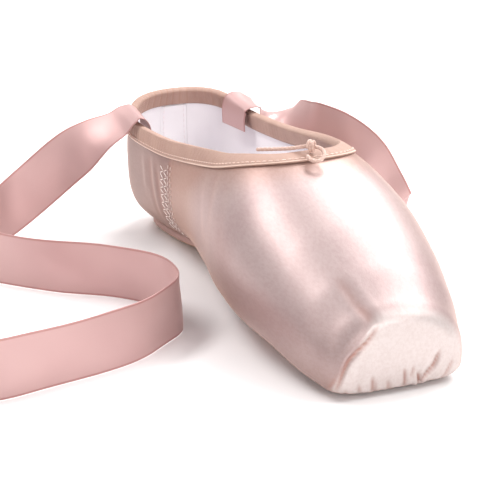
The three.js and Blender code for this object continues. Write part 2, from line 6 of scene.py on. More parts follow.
import bpy
import numpy as np
from mathutils import Matrix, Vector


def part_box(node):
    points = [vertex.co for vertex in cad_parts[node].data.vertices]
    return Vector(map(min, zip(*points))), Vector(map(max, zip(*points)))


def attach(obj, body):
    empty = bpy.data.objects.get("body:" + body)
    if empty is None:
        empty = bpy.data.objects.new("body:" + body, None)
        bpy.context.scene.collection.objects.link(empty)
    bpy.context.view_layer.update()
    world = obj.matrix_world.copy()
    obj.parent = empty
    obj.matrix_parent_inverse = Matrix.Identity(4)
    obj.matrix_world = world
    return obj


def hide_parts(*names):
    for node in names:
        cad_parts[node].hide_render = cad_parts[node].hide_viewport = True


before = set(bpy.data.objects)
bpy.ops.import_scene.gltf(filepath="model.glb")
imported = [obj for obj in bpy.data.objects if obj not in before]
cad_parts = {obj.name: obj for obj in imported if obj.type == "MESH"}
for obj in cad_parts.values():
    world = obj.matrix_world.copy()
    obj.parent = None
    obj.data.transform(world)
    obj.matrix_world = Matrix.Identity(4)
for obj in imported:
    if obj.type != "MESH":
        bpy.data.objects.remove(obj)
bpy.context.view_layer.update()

bl_info = {
    "name": "Pointe shoe",
    "version": (1, 0, 0),
    "blender": (4, 5, 0),
    "location": "3D View > Sidebar > Pointe shoe",
    "description": "Builds a satin pointe shoe with its binding, stitches and ribbons",
    "category": "Add Mesh",
}


def colour(code):
    """A linear colour from an sRGB hex code."""
    channels = [int(code[i : i + 2], 16) / 255 for i in (1, 3, 5)]
    linear = [c / 12.92 if c <= 0.04045 else ((c + 0.055) / 1.055) ** 2.4 for c in channels]
    return (*linear, 1.0)


def length_size(name, description, default):
    """A size in metres that a user may change."""
    return bpy.props.FloatProperty(
        name=name, description=description, default=default, min=0.0, unit="LENGTH", precision=5
    )


def colour_choice(name, description, code):
    """A colour that a user may change."""
    return bpy.props.FloatVectorProperty(
        name=name, description=description, default=colour(code), size=4, min=0, max=1,
        subtype="COLOR",
    )


shoe_low, shoe_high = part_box("upper")


class LastSizes(bpy.types.PropertyGroup):
    """Sizes of the shoe's form, measured on its skin."""

    length: length_size("Length", "From heel to platform", shoe_high.x - shoe_low.x)
    ball_width: length_size("Ball width", "Across the ball", shoe_high.y - shoe_low.y)
    waist_width: length_size("Waist width", "Across the waist", 0.058)
    heel_width: length_size("Heel width", "Across the heel", 0.057)
    platform_width: length_size("Platform width", "Across the flat toe", 0.051)
    throat_at: length_size("Throat place", "From the heel to the throat", 0.164)
    throat_height: length_size("Throat height", "Collar height at the throat", 0.064)
    box_height: length_size("Box height", "Over the toes", 0.05)
    platform_height: length_size("Platform height", "Height of the flat toe", 0.03)
    heel_height: length_size("Heel height", "Collar height at the heel", 0.058)
    quarter_height: length_size("Quarter height", "Collar height at the quarters", 0.05)
    waist_height: length_size("Waist height", "Collar height at the waist", 0.052)
    wing_height: length_size("Wing height", "Collar height at the wings", 0.0605)
    arch_lift: length_size("Arch lift", "Rise of the sole at the waist", 0.005)
    toe_spring: length_size("Toe spring", "Rise of the sole at the platform", 0.0012)
    heel_radius: length_size("Heel radius", "Length of the rounded heel", 0.027)
    platform_fillet: length_size("Platform edge", "Rounding of the flat toe's edge", 0.0062)
    throat_half: length_size("Throat half width", "Half the opening behind the throat", 0.0215)
    throat_depth: length_size("Throat depth", "From that half width to the throat", 0.016)
    wing_radius: length_size("Wing radius", "Rounding where throat meets collar", 0.006)
    quarter_wall: length_size("Quarter wall", "Satin and lining at the quarters", 0.0016)
    box_wall: length_size("Box wall", "Stiffened wall of the box", 0.003)
    platform_wall: length_size("Platform wall", "Stiffened wall at the flat toe", 0.0045)
    outsole_thickness: length_size("Outsole", "Thickness of the outsole", 0.0027)
    insole_thickness: length_size("Insole", "Thickness of board and sock", 0.0024)
    bedding: length_size("Bedding", "Gap between the layers of the sole", 0.0004)


class TrimSizes(bpy.types.PropertyGroup):
    """Sizes of binding, stitches, drawstring and ribbons."""

    binding_width: length_size("Binding width", "Width of the folded tape", 0.0065)
    binding_thickness: length_size("Binding thickness", "Thickness of the tape", 0.0008)
    gather: length_size("Gather spacing", "Between the binding's gathers", 0.0034)
    ribbon_width: length_size("Ribbon width", "Width of the ribbons", 0.022)
    ribbon_thickness: length_size("Ribbon thickness", "Thickness of the ribbons", 0.0004)
    cord_radius: length_size("Cord radius", "Half the drawstring's thickness", 0.00075)
    knot_radius: length_size("Knot radius", "Radius of the drawstring's knot", 0.0018)
    stitch_spacing: length_size("Stitch spacing", "Between stitches of a seam", 0.0024)
    stitch_length: length_size("Stitch length", "Length of one stitch", 0.0019)
    thread: length_size("Thread", "Thickness of the sewing thread", 0.00042)


class Colours(bpy.types.PropertyGroup):
    """Colours of the shoe's cloths, leather and thread."""

    satin: colour_choice("Satin", "Main satin", "#BEABA9")
    # painted shade: the satin's colour in its folds, seams and pleats
    satin_warm: colour_choice("Warm satin", "Satin in its creases", "#A0756A")
    # painted shade: the satin near the collar, near the floor and on the waist's sides, where it
    # turns from the light
    satin_peach: colour_choice("Peach satin", "Satin under the binding", "#A78272")
    # painted shade: the satin over the quarters and low on the sides
    satin_mauve: colour_choice("Mauve satin", "Satin of quarters and sides", "#80615B")
    # painted light: the satin of the flat toe, paler as where it is lit
    satin_pale: colour_choice("Pale satin", "Satin of the flat toe", "#CDC3C0")
    binding: colour_choice("Binding", "Binding tape", "#AA887A")
    binding_edge: colour_choice("Binding edge", "Piping line of the binding", "#F0D6C6")
    ribbon: colour_choice("Ribbon", "Ribbon satin", "#BF9A98")
    ribbon_dark: colour_choice("Ribbon fold", "Ribbon in its folds", "#B07E7A")
    lining: colour_choice("Lining", "Cotton lining", "#F7F5F6")
    sock: colour_choice("Sock", "Brushed sock", "#D9CEDB")
    leather: colour_choice("Outsole", "Split leather", "#D2B09A")
    leather_edge: colour_choice("Outsole edge", "Burnished leather edge", "#BF9E95")
    thread: colour_choice("Thread", "Sewing thread", "#F8EAE4")


def last_sizes():
    """The shoe's sizes in millimetres."""
    group = bpy.context.scene.shoe_last
    return {name: 1000 * getattr(group, name) for name in LastSizes.__annotations__}


def trim_sizes():
    """The trim's sizes in millimetres."""
    group = bpy.context.scene.shoe_trim
    return {name: 1000 * getattr(group, name) for name in TrimSizes.__annotations__}


def shade(name):
    """A colour of the shoe."""
    return tuple(getattr(bpy.context.scene.shoe_colours, name))


# Form of the shoe. All lengths below are millimetres, x from the heel, z from the floor.

Station = namedtuple("Station", "at half lift crown wide low high")
ENDS = 0.499  # how near straight down and up the rays to the skin go, in half turns


def through(at, values):
    """A monotone cubic through the rows of a table, as a function."""
    at, values = np.asarray(at, float), np.asarray(values, float)
    slope = np.diff(values) / np.diff(at)
    a, b = slope[:-1], slope[1:]
    tangent = np.zeros(len(at))
    tangent[1:-1] = np.where(a * b <= 0, 0, 2 * a * b / np.where(a + b == 0, 1, a + b))

    def value(v):
        v = np.clip(np.asarray(v, float), at[0], at[-1])
        i = np.clip(np.searchsorted(at, v, side="left") - 1, 0, len(at) - 2)
        h = at[i + 1] - at[i]
        t = (v - at[i]) / h
        t2, t3 = t * t, t**3
        return (
            (2 * t3 - 3 * t2 + 1) * values[i]
            + (t3 - 2 * t2 + t) * h * tangent[i]
            + (3 * t2 - 2 * t3) * values[i + 1]
            + (t3 - t2) * h * tangent[i + 1]
        )

    return value


def tabled(function, end):
    """The same function read from a fine table, for speed."""
    at = np.linspace(0, end, 4801)
    values = function(at)
    return lambda v: np.interp(v, at, values)


def smooth(low, high, v):
    """A soft step from 0 to 1."""
    t = np.clip((np.asarray(v, float) - low) / (high - low), 0, 1)
    return t * t * (3 - 2 * t)


def unit(directions):
    """The same directions with a length of 1."""
    return directions / np.linalg.norm(directions, axis=-1, keepdims=True)


def bell(v):
    """A soft bump, 1 in its middle and nothing from about 2 on."""
    return np.exp(-(v**2))


class Last:
    """The shoe's form, its collar line, its walls and the plan of its sole."""

    def __init__(self, s):
        self.s = s
        length, ball, heel = s["length"], s["ball_width"], s["heel_width"]
        self.under_z = s["outsole_thickness"] + s["bedding"]
        throat, box = s["throat_height"], s["box_height"]
        platform = s["platform_width"]
        crown = s["heel_height"] + 14
        middle = 0.5 * (crown + throat + 4)
        toe_half = 0.5 * platform + 0.07 * ball
        toe_crown = 0.5 * (box + s["platform_height"])
        arch = s["arch_lift"]
        drop = s["toe_spring"] - self.under_z
        rows = [
            Station(0, 0.49 * heel, 0, crown, 0.42, 3.3, 2.3),
            Station(0.11, 0.5 * heel, 0, crown + 3, 0.4, 3.3, 2.3),
            Station(0.22, 0.505 * heel, 0.25 * arch, crown + 4, 0.4, 3.1, 2.3),
            Station(0.375, 0.5 * s["waist_width"], arch, crown + 2, 0.4, 2.9, 2.3),
            Station(0.54, 0.43 * ball, 0.45 * arch, middle, 0.4, 2.9, 2.3),
            Station(0.64, 0.478 * ball, 0, throat + 3.2, 0.4, 2.9, 2.3),
            Station(0.735, 0.5 * ball, 0, throat - 3.6, 0.4, 2.9, 2.3),
            Station(0.84, 0.463 * ball, 0, box, 0.37, 3, 2.25),
            Station(0.92, toe_half, -0.4 * self.under_z, toe_crown, 0.34, 3.7, 2.2),
            Station(1, 0.5 * platform, drop, s["platform_height"], 0.3, 4.4, 2.15),
        ]
        at = [row.at * length for row in rows]
        for name in Station._fields[1:]:
            line = through(at, [getattr(row, name) for row in rows])
            setattr(self, name, tabled(line, length))
        heel_round = s["heel_radius"]
        self.collar = tabled(
            through(
                [0, 0.3 * heel_round, heel_round, 0.4 * s["throat_at"], 0.8 * s["throat_at"],
                 s["throat_at"]],
                [s["heel_height"], s["heel_height"] - 1.5, s["quarter_height"],
                 s["waist_height"], s["wing_height"], throat],
            ),
            length,
        )
        wall, stiff = s["quarter_wall"], s["box_wall"]
        self.wall_plan = tabled(
            through([a * length for a in (0.54, 0.64, 0.735, 0.84)],
                    [wall, 1.2 * wall, 0.8 * stiff, stiff]),
            length,
        )
        self.fan = 0.86 * s["throat_at"]
        self.core = 0.5 * s["heel_height"]

    def outside(self, p):
        """How far points lie outside the last, negative inside it."""
        x, y, z = p[..., 0], p[..., 1], p[..., 2]
        s = self.s
        heel = s["heel_radius"]
        half = self.half(np.maximum(x, heel))
        bottom = self.under_z + self.lift(x)
        crown = self.crown(x)
        widest = bottom + self.wide(x) * (crown - bottom)
        above = z >= widest
        rise = np.where(above, (z - widest) / (crown - widest), (widest - z) / (widest - bottom))
        n = np.where(above, self.high(x), self.low(x))
        back = np.maximum(0, heel - x) / heel
        plan = (back**2.3 + (np.abs(y) / half) ** 2.3) ** (1 / 2.3)
        ring = (plan**n + np.abs(rise) ** n) ** (1 / n)
        side, front, r = (ring - 1) * half, x - s["length"], s["platform_fillet"]
        edge = np.hypot(side + r, front + r) - r
        return np.where((side > -r) & (front > -r), edge, np.maximum(side, front))

    def outward(self, p, step=0.05):
        """The outward direction of the last at points of its skin."""
        turns = []
        for axis in range(3):
            d = np.zeros(3)
            d[axis] = step
            turns.append(self.outside(p + d) - self.outside(p - d))
        return unit(np.stack(turns, -1))

    def skin(self, centre, direction):
        """Where rays from inside the last meet its skin."""
        near = np.zeros(direction.shape[:-1])
        far = np.full(direction.shape[:-1], self.s["length"])
        for _ in range(32):
            middle = 0.5 * (near + far)
            inside = self.outside(centre + direction * middle[..., None]) < 0
            near = np.where(inside, middle, near)
            far = np.where(inside, far, middle)
        return centre + direction * near[..., None]

    def under(self, x, y):
        """The height of the last's underside above points of the floor plan."""
        low, high = np.zeros(x.shape), np.full(x.shape, self.core)
        for _ in range(32):
            middle = 0.5 * (low + high)
            inside = self.outside(np.stack([x, y, middle], -1)) < 0
            high = np.where(inside, middle, high)
            low = np.where(inside, low, middle)
        return high

    def wall(self, p):
        """The wall of the upper, thicker behind the platform."""
        fillet = self.s["platform_fillet"]
        share = np.clip((p[..., 0] - (self.s["length"] - 2 * fillet)) / fillet, 0, 1)
        return self.wall_plan(p[..., 0]) * (1 - share) + self.s["platform_wall"] * share

    def outline(self, columns):
        """The outline from above on the left side, heel to platform, as spaced points."""
        s = self.s
        share = np.linspace(0, 1, 1201)
        along = np.clip(1.25 * share - 0.125, 0, 1)
        flat = np.zeros_like(share)
        x = s["heel_radius"] + (self.fan - s["heel_radius"]) * along
        centre = np.stack([x, flat, flat + 0.5 * self.core], 1)
        turn = np.pi * share
        fine = self.skin(centre, np.stack([-np.cos(turn), np.sin(turn), flat], 1))
        density = np.ones(len(fine))
        density[fine[:, 0] < s["heel_radius"]] = 1.2
        density[fine[:, 0] > 0.9 * s["length"]] = 3.2
        reach = np.r_[0, np.cumsum(density[1:] * np.linalg.norm(np.diff(fine, axis=0), axis=1))]
        want = np.linspace(0, reach[-1], columns)
        return np.stack([np.interp(want, reach, fine[:, k]) for k in range(3)], 1)

    def profiles(self, columns, margin=6.0):
        """Lines up the skin, from the sole opening to the collar, all round the shoe."""
        s = self.s
        targets = self.outline(columns)
        x = np.clip(targets[:, 0], s["heel_radius"], self.fan)
        centre = np.stack([x, 0 * x, 0 * x + self.core], 1)
        heading = targets - centre
        heading[:, 2] = 0
        reach = np.linalg.norm(heading, axis=1)
        heading /= reach[:, None]
        tilt = np.linspace(-ENDS, ENDS, 421) * np.pi
        rays = heading[:, None, :] * np.cos(tilt)[None, :, None]
        rays[..., 2] = np.sin(tilt)
        met = self.skin(centre[:, None, :], rays)
        lines = []
        for k in range(columns):
            points = met[k]
            radial = np.hypot(points[:, 0] - centre[k, 0], points[:, 1])
            edge = self.sole_reach(centre[k, 0], heading[k])
            opening = min(edge, reach[k]) - margin
            sweep = s["throat_depth"] * (np.abs(points[:, 1]) / s["throat_half"]) ** 3.5
            behind = s["throat_at"] - sweep - points[:, 0]
            above = points[:, 2] - self.collar(points[:, 0])
            r = s["wing_radius"]
            corner = r - np.hypot(r - behind, r - above)
            past = np.where((behind < r) & (above < r), corner, np.minimum(behind, above))
            first = 1 + np.argmax(radial[1:] > opening)
            over = (past > 0) & (np.arange(len(past)) > len(past) / 3)
            stop = int(np.argmax(over))
            a = (radial[first - 1] - opening) / (radial[first - 1] - radial[first])
            b = past[stop - 1] / (past[stop - 1] - past[stop])
            start = points[first - 1] + a * (points[first] - points[first - 1])
            end = points[stop - 1] + b * (points[stop] - points[stop - 1])
            lines.append(np.vstack([start, points[first:stop], end]))
        mirror = [line * [1, -1, 1] for line in lines[-2:0:-1]]
        return lines + mirror

    def sole_reach(self, from_x, heading):
        """How far the outsole's edge lies from a centre line point."""
        reach = np.arange(2, self.s["length"], 0.2)
        x = from_x + heading[0] * reach
        half = sole_half(OUTSOLE, self.s["length"], x)
        past = np.abs(heading[1]) * reach > half
        return reach[np.argmax(past)]


SolePlan = namedtuple(
    "SolePlan", "heel waist ball heel_share toe_share end_share heel_inset toe_inset"
)
OUTSOLE = SolePlan(37, 28, 48, 0.46, 0.44, 0.4, 9, 19)
INSOLE = SolePlan(41, 38, 54, 0.47, 0.45, 0.38, 14, 17)


def sole_half(plan, length, x):
    """The half width of a sole layer, rounded off at its two ends."""
    at = [0, 0.14 * length, 0.4 * length, 0.72 * length, 0.88 * length, length]
    halves = [plan.heel_share * plan.heel, 0.5 * plan.heel, 0.5 * plan.waist, 0.5 * plan.ball,
              plan.toe_share * plan.ball, plan.end_share * plan.ball]
    half = through(at, halves)(x)
    inset = np.minimum(x - plan.heel_inset, length - plan.toe_inset - x)
    share = np.clip(inset / (0.95 * half), 0, 1)
    return half * np.sqrt(np.maximum(0, 1 - (1 - share) ** 2.4))


def line_length(points):
    """Distances along a line of points."""
    return np.r_[0, np.cumsum(np.linalg.norm(np.diff(points, axis=0), axis=1))]


def at_distance(points, distance):
    """Points at distances along a line of points."""
    reach = line_length(points)
    return np.stack([np.interp(distance, reach, points[:, k]) for k in range(3)], -1)


# Meshes


def metres(points):
    """From the last's millimetres to the frame's metres."""
    return (np.asarray(points, float) - [0.5 * last_sizes()["length"], 0, 0]) / 1000


def piece(name, points, faces, materials, triangles=(), uv=None, values=None, inside=None):
    """A smooth mesh in the frame, of quads and any triangles, with its materials, a UV map,
    named values of its points, and which of its quads have the second material."""
    mesh = bpy.data.meshes.new(name)
    points = np.asarray(points, float)
    faces = np.asarray(faces, np.int32)
    triangles = np.asarray(triangles, np.int32).reshape(-1, 3)
    corners = np.r_[faces.ravel(), triangles.ravel()]
    starts = np.r_[4 * np.arange(len(faces)), faces.size + 3 * np.arange(len(triangles))]
    mesh.vertices.add(len(points))
    mesh.vertices.foreach_set("co", points.ravel())
    mesh.loops.add(len(corners))
    mesh.polygons.add(len(starts))
    mesh.loops.foreach_set("vertex_index", corners)
    mesh.polygons.foreach_set("loop_start", starts.astype(np.int32))
    if inside is not None:
        mesh.polygons.foreach_set("material_index", np.asarray(inside, np.int32))
    mesh.update(calc_edges=True)
    mesh.validate()
    mesh.shade_smooth()
    if uv is not None:
        layer = mesh.uv_layers.new(name="Cloth")
        layer.data.foreach_set("uv", np.asarray(uv, float)[corners].ravel())
    for key, value in (values or {}).items():
        layer = mesh.attributes.new(key, "FLOAT", "POINT")
        layer.data.foreach_set("value", np.asarray(value, float))
    for finish in materials:
        mesh.materials.append(finish)
    thing = bpy.data.objects.new(name, mesh)
    bpy.context.scene.collection.objects.link(thing)
    return thing


def fasten(thing, node=None):
    """Sets a piece on the shoe's one body and in the place of its node."""
    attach(thing, "root")
    if node:
        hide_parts(node)


def grid_faces(rows, columns, closed_rows=False, closed_columns=False):
    """Quads of a grid of points, row by row."""
    r = np.arange(rows if closed_rows else rows - 1)
    c = np.arange(columns if closed_columns else columns - 1)
    r, c = np.meshgrid(r, c, indexing="ij")
    r, c = r.ravel(), c.ravel()
    r1, c1 = (r + 1) % rows, (c + 1) % columns
    return np.stack([r * columns + c, r * columns + c1, r1 * columns + c1, r1 * columns + c], 1)


def through_points(points, per=12):
    """A centripetal curve through points, with the place of each sample in the rows."""
    p = np.asarray(points, float)
    out = []
    for k in range(len(p) - 1):
        p1, p2 = p[k], p[k + 1]
        p0 = p[k - 1] if k > 0 else 2 * p[0] - p[1]
        p3 = p[k + 2] if k + 2 < len(p) else 2 * p[-1] - p[-2]
        d0, d1, d2 = [max(((a - b) ** 2).sum(), 1e-12) ** 0.25
                      for a, b in ((p0, p1), (p1, p2), (p2, p3))]
        t1 = ((p1 - p0) / d0 - (p2 - p0) / (d0 + d1) + (p2 - p1) / d1) * d1
        t2 = ((p2 - p1) / d1 - (p3 - p1) / (d1 + d2) + (p3 - p2) / d2) * d1
        w = (np.arange(per + (k == len(p) - 2)) / per)[:, None]
        out.append(p1 + t1 * w + (-3 * p1 + 3 * p2 - 2 * t1 - t2) * w**2
                   + (2 * p1 - 2 * p2 + t1 + t2) * w**3)
    path = np.vstack(out)
    return path, np.arange(len(path)) / per


def closed_band(rows, count):
    """Faces of a flat band of rings that are each two sides thick, closed at its two ends."""
    c = np.arange(count // 2 - 1)
    cap = np.stack([c, c + 1, count - 2 - c, count - 1 - c], 1)
    last = (rows - 1) * count
    return np.vstack([grid_faces(rows, count, closed_columns=True), cap, last + cap[:, ::-1]])


STRANDS = 3
LAY_PITCH = 7.0  # a strand's turn, in radii of the cord
LAY_GROOVE = 0.16  # between the strands, as a share of the radius
CUT_END = (0.25, 0.7, 0.93)  # the radius ring by ring from a cut end


def laid_cord(name, path, radius, material, sides):
    """A cord along a path in metres, laid from strands, with rounded ends."""
    along = unit(np.gradient(path, axis=0))
    side = np.cross(along[0], [0.3, 0.2, 0.9])
    reach = line_length(path)
    turn = np.linspace(0, 2 * np.pi, sides, endpoint=False)
    rings = []
    for i, ahead in enumerate(along):
        side = unit(side - ahead * side.dot(ahead))
        lay = 0.5 * STRANDS * (turn - 2 * np.pi * reach[i] / (LAY_PITCH * radius))
        r = radius * (1 - LAY_GROOVE + LAY_GROOVE * np.abs(np.cos(lay)))
        from_end = min(i, len(path) - 1 - i)
        if from_end < len(CUT_END):
            r = r * CUT_END[from_end]
        rings.append(path[i] + (r * np.cos(turn))[:, None] * side
                     + (r * np.sin(turn))[:, None] * np.cross(ahead, side))
    points = np.vstack([*rings, path[0], path[-1]])
    faces = grid_faces(len(rings), sides, closed_columns=True)
    count = len(rings) * sides
    j, after = np.arange(sides), (np.arange(sides) + 1) % sides
    last = count - sides
    triangles = np.vstack([np.stack([0 * j + count, after, j], 1),
                           np.stack([0 * j + count + 1, last + j, last + after], 1)])
    around = np.tile(turn / (2 * np.pi), len(rings))
    uv = np.stack([np.r_[around, 0, 0], 1000 * np.r_[np.repeat(reach, sides), 0, reach[-1]]], 1)
    return piece(name, points, faces, [material], triangles, uv=uv)


# Materials

RAMP = "ShaderNodeValToRGB"
NOISE = "ShaderNodeTexNoise"
WAVE = "ShaderNodeTexWave"
MAPPING = "ShaderNodeMapping"
COORDINATES = "ShaderNodeTexCoord"
SEPARATE = "ShaderNodeSeparateXYZ"
MATH = "ShaderNodeMath"
# A mix's colour sockets share their names with others, so they go by number
MIX_SHARE, MIX_FIRST, MIX_SECOND, MIXED = 0, 6, 7, 2
WHITE, GREY, BLACK = (1, 1, 1, 1), (0.5, 0.5, 0.5, 1), (0, 0, 0, 1)


def add(tree, kind, inputs=None, stops=(), **settings):
    """Adds a node with its settings, its inputs and a ramp's stops. An input is a value, a socket
    to link, or a node to link by its first output."""
    node = tree.nodes.new(kind)
    for key, value in settings.items():
        setattr(node, key, value)
    for key, value in (inputs or {}).items():
        if isinstance(value, bpy.types.Node):
            value = value.outputs[0]
        if isinstance(value, bpy.types.NodeSocket):
            tree.links.new(value, node.inputs[key])
        else:
            node.inputs[key].default_value = value
    if stops:
        elements = node.color_ramp.elements
        elements.remove(elements[-1])
        elements[0].position, elements[0].color = stops[0]
        for place, tone in stops[1:]:
            elements.new(place).color = tone
    return node


def new_finish(name):
    """A new material and its empty node tree."""
    material = bpy.data.materials.new(name)
    material.use_nodes = True
    material.node_tree.nodes.clear()
    return material, material.node_tree


def shaded(tree, inputs):
    """Ends a finish with its shader."""
    shader = add(tree, "ShaderNodeBsdfPrincipled", inputs)
    add(tree, "ShaderNodeOutputMaterial", {"Surface": shader})


def grains(tree, sizes, detail=2.0, roughness=0.5):
    """Noise with grains of a size in millimetres, or of one size each along x, y and z."""
    scale = 1000 / np.broadcast_to(sizes, 3)
    place = add(tree, MAPPING, {"Vector": add(tree, COORDINATES).outputs["Object"],
                                "Scale": tuple(scale)})
    return add(tree, NOISE, {"Vector": place, "Scale": 1, "Detail": detail,
                             "Roughness": roughness})


def bumps(tree, *layers):
    """Bumps laid one on another: each a pattern, its height in millimetres and its strength."""
    below = {}
    for pattern, height, strength in layers:
        below = {"Normal": add(tree, "ShaderNodeBump", {
            "Height": pattern, "Distance": height / 1000, "Strength": strength, **below,
        })}
    return below["Normal"]


def toned(tree, cloth, *tones, mode="MIX"):
    """A colour changed to others in turn, as far as a share says: a number, a pattern or the
    name of a value on the mesh."""
    for share, tone in tones:
        if isinstance(share, str):
            share = add(tree, "ShaderNodeAttribute", attribute_name=share).outputs["Fac"]
        cloth = add(tree, "ShaderNodeMix", {MIX_SHARE: share, MIX_FIRST: cloth, MIX_SECOND: tone},
                    data_type="RGBA", blend_type=mode).outputs[MIXED]
    return cloth


def satin_finish():
    """Heavy shoe satin: glossy floats along the shoe; peach, mauve and its warm creases are painted
    shade, and the pale flat toe is painted light. The threads are drawn coarser than they are,
    so that they show."""
    material, tree = new_finish("peach_pink_shoe_satin")
    cloth = add(tree, RAMP, {"Fac": grains(tree, 29.4)},
                [(0.3, shade("satin")), (0.75, colour("#B19B9A"))])
    # painted shade in peach and mauve, painted light where the flat toe is pale
    cloth = toned(tree, cloth, *((t, shade("satin_" + t)) for t in ("peach", "mauve", "pale")))
    speckle = add(tree, RAMP, {"Fac": grains(tree, (2.38, 1.111, 1.111), 3, 0.7)},
                  [(0.36, colour("#E6DAD6")), (0.6, WHITE)])
    cloth = toned(tree, cloth, (0.32, speckle), mode="MULTIPLY")
    floats, rows = grains(tree, (2.857, 0.3846, 0.3846), 3), grains(tree, (16.67, 2.38, 2.38))
    shaded(tree, {
        # painted shade: the satin turns warm and dark in its folds, seams and pleats
        "Base Color": toned(tree, cloth, ("crease", shade("satin_warm"))),
        "Roughness": 0.45, "Metallic": 0.5, "Specular IOR Level": 0.6,
        "Sheen Weight": 0.35, "Sheen Roughness": 0.35, "Sheen Tint": colour("#F6C4A8"),
        "Normal": bumps(tree, (floats, 0.05, 0.6), (rows, 0.1, 0.5)),
    })
    return material


def lining_finish():
    """Plain cotton lining, matt, with slight cockles."""
    material, tree = new_finish("white_cotton_lining")
    cloth = add(tree, RAMP, {"Fac": grains(tree, 22.22, 3)},
                [(0.25, colour("#EFECEF")), (0.7, shade("lining"))])
    weave, cockles = grains(tree, 0.6667), grains(tree, (11.11, 11.11, 33.33))
    shaded(tree, {
        "Base Color": cloth, "Roughness": 0.9, "Sheen Weight": 0.2,
        "Normal": bumps(tree, (weave, 0.05, 0.5), (cockles, 0.5, 0.35)),
    })
    return material


def binding_finish():
    """Folded cotton tape: close ribs across, a lighter piping line along its lower edge, and
    painted shade in the hollows of its gathers.
    """
    material, tree = new_finish("peach_binding_tape")
    place = add(tree, COORDINATES).outputs["UV"]
    across = add(tree, SEPARATE, {"Vector": place}).outputs["Y"]
    piping = add(tree, RAMP, {"Fac": across}, [(0, WHITE), (0.055, WHITE), (0.1, BLACK)])
    tape = add(tree, RAMP, {"Fac": grains(tree, 11.11)},
               [(0.3, shade("binding")), (0.75, colour("#B79586"))])
    along = add(tree, MAPPING, {"Vector": place, "Scale": (2.2, 0, 0)})
    ribs = add(tree, WAVE, {"Vector": along, "Scale": 1, "Distortion": 0.4},
               bands_direction="X").outputs["Fac"]
    shaded(tree, {
        # painted shade: darker where the gathers dip in
        "Base Color": toned(tree, tape, ("crease", colour("#A87E6C")),
                            (piping, shade("binding_edge"))),
        "Roughness": 0.62, "Sheen Weight": 0.3, "Sheen Tint": colour("#FFE2D2"),
        "Normal": bumps(tree, (grains(tree, 0.5556), 0.04, 0.5), (ribs, 0.05, 0.5)),
    })
    return material


def ribbon_finish():
    """Soft satin ribbon: fine ribs across, woven edges a little darker."""
    material, tree = new_finish("dusty_pink_satin_ribbon")
    place = add(tree, COORDINATES).outputs["UV"]
    across = add(tree, SEPARATE, {"Vector": place}).outputs["X"]
    middle = add(tree, MATH, {0: across, 1: 0.5}, operation="SUBTRACT")
    selvedge = add(tree, RAMP, {"Fac": add(tree, MATH, {0: middle}, operation="ABSOLUTE")},
                   [(0.455, BLACK), (0.47, WHITE), (0.5, GREY)])
    cloth = add(tree, RAMP, {"Fac": grains(tree, 45.45)},
                [(0.3, shade("ribbon")), (0.8, colour("#C9A6A3"))])
    along = add(tree, MAPPING, {"Vector": place, "Scale": (0, 1.6, 0)})
    ribs = add(tree, WAVE, {"Vector": along, "Scale": 1, "Distortion": 0.6},
               bands_direction="Y").outputs["Fac"]
    lengthwise = add(tree, MAPPING, {"Vector": place, "Scale": (60, 1.4, 1)})
    floats = add(tree, NOISE, {"Vector": lengthwise, "Scale": 1})
    shaded(tree, {
        "Base Color": toned(tree, cloth, (selvedge, shade("ribbon_dark"))),
        "Roughness": 0.38, "Metallic": 0.3,
        "Sheen Weight": 0.35, "Sheen Roughness": 0.4, "Sheen Tint": colour("#F3CFC8"),
        "Normal": bumps(tree, (floats, 0.03, 0.5), (ribs, 0.03, 0.35)),
    })
    return material


def sock_finish():
    """Brushed sock cloth, lilac grey."""
    material, tree = new_finish("lilac_brushed_sock")
    cloth = add(tree, RAMP, {"Fac": grains(tree, 16.67, 3)},
                [(0.3, colour("#CBBFCF")), (0.7, shade("sock"))])
    shaded(tree, {
        "Base Color": cloth, "Roughness": 0.93, "Sheen Weight": 0.4,
        "Normal": bumps(tree, (grains(tree, 0.9091, 4, 0.65), 0.1, 0.6)),
    })
    return material


def leather_finish():
    """Split leather outsole, its nap scored, darker at the cut edge."""
    material, tree = new_finish("tan_split_leather")
    hide = add(tree, RAMP, {"Fac": grains(tree, 14.286, 5, 0.6)},
               [(0.3, colour("#AE8461")), (0.7, shade("leather"))])
    nap, scoring = grains(tree, 1.111, 5, 0.7), grains(tree, (12.5, 1.4286, 12.5), 3)
    shaded(tree, {
        "Base Color": toned(tree, hide, ("crease", shade("leather_edge"))), "Roughness": 0.78,
        "Normal": bumps(tree, (nap, 0.12, 0.7), (scoring, 0.2, 0.4)),
    })
    return material


def cord_finish():
    """Laid cotton drawstring, pale peach."""
    material, tree = new_finish("pale_cotton_cord")
    fuzz = grains(tree, 0.4545, 3)
    shaded(tree, {
        "Base Color": add(tree, RAMP, {"Fac": fuzz},
                          [(0.3, colour("#BF9B8C")), (0.7, colour("#DABFB3"))]),
        "Roughness": 0.75, "Sheen Weight": 0.3, "Normal": bumps(tree, (fuzz, 0.1, 0.6)),
    })
    return material


def thread_finish(name, tint):
    """Twisted sewing thread."""
    material, tree = new_finish(name)
    twist = grains(tree, 0.3333)
    shaded(tree, {
        "Base Color": add(tree, RAMP, {"Fac": twist}, [(0.3, tint), (0.8, colour("#FFF1EA"))]),
        "Roughness": 0.5, "Normal": bumps(tree, (twist, 0.05, 0.5)),
    })
    return material


# Seams: stitches laid along a path by a node tree


STITCH_SEED = 7
STITCH_SWAY = 0.09  # how far a stitch may turn from its row, in radians


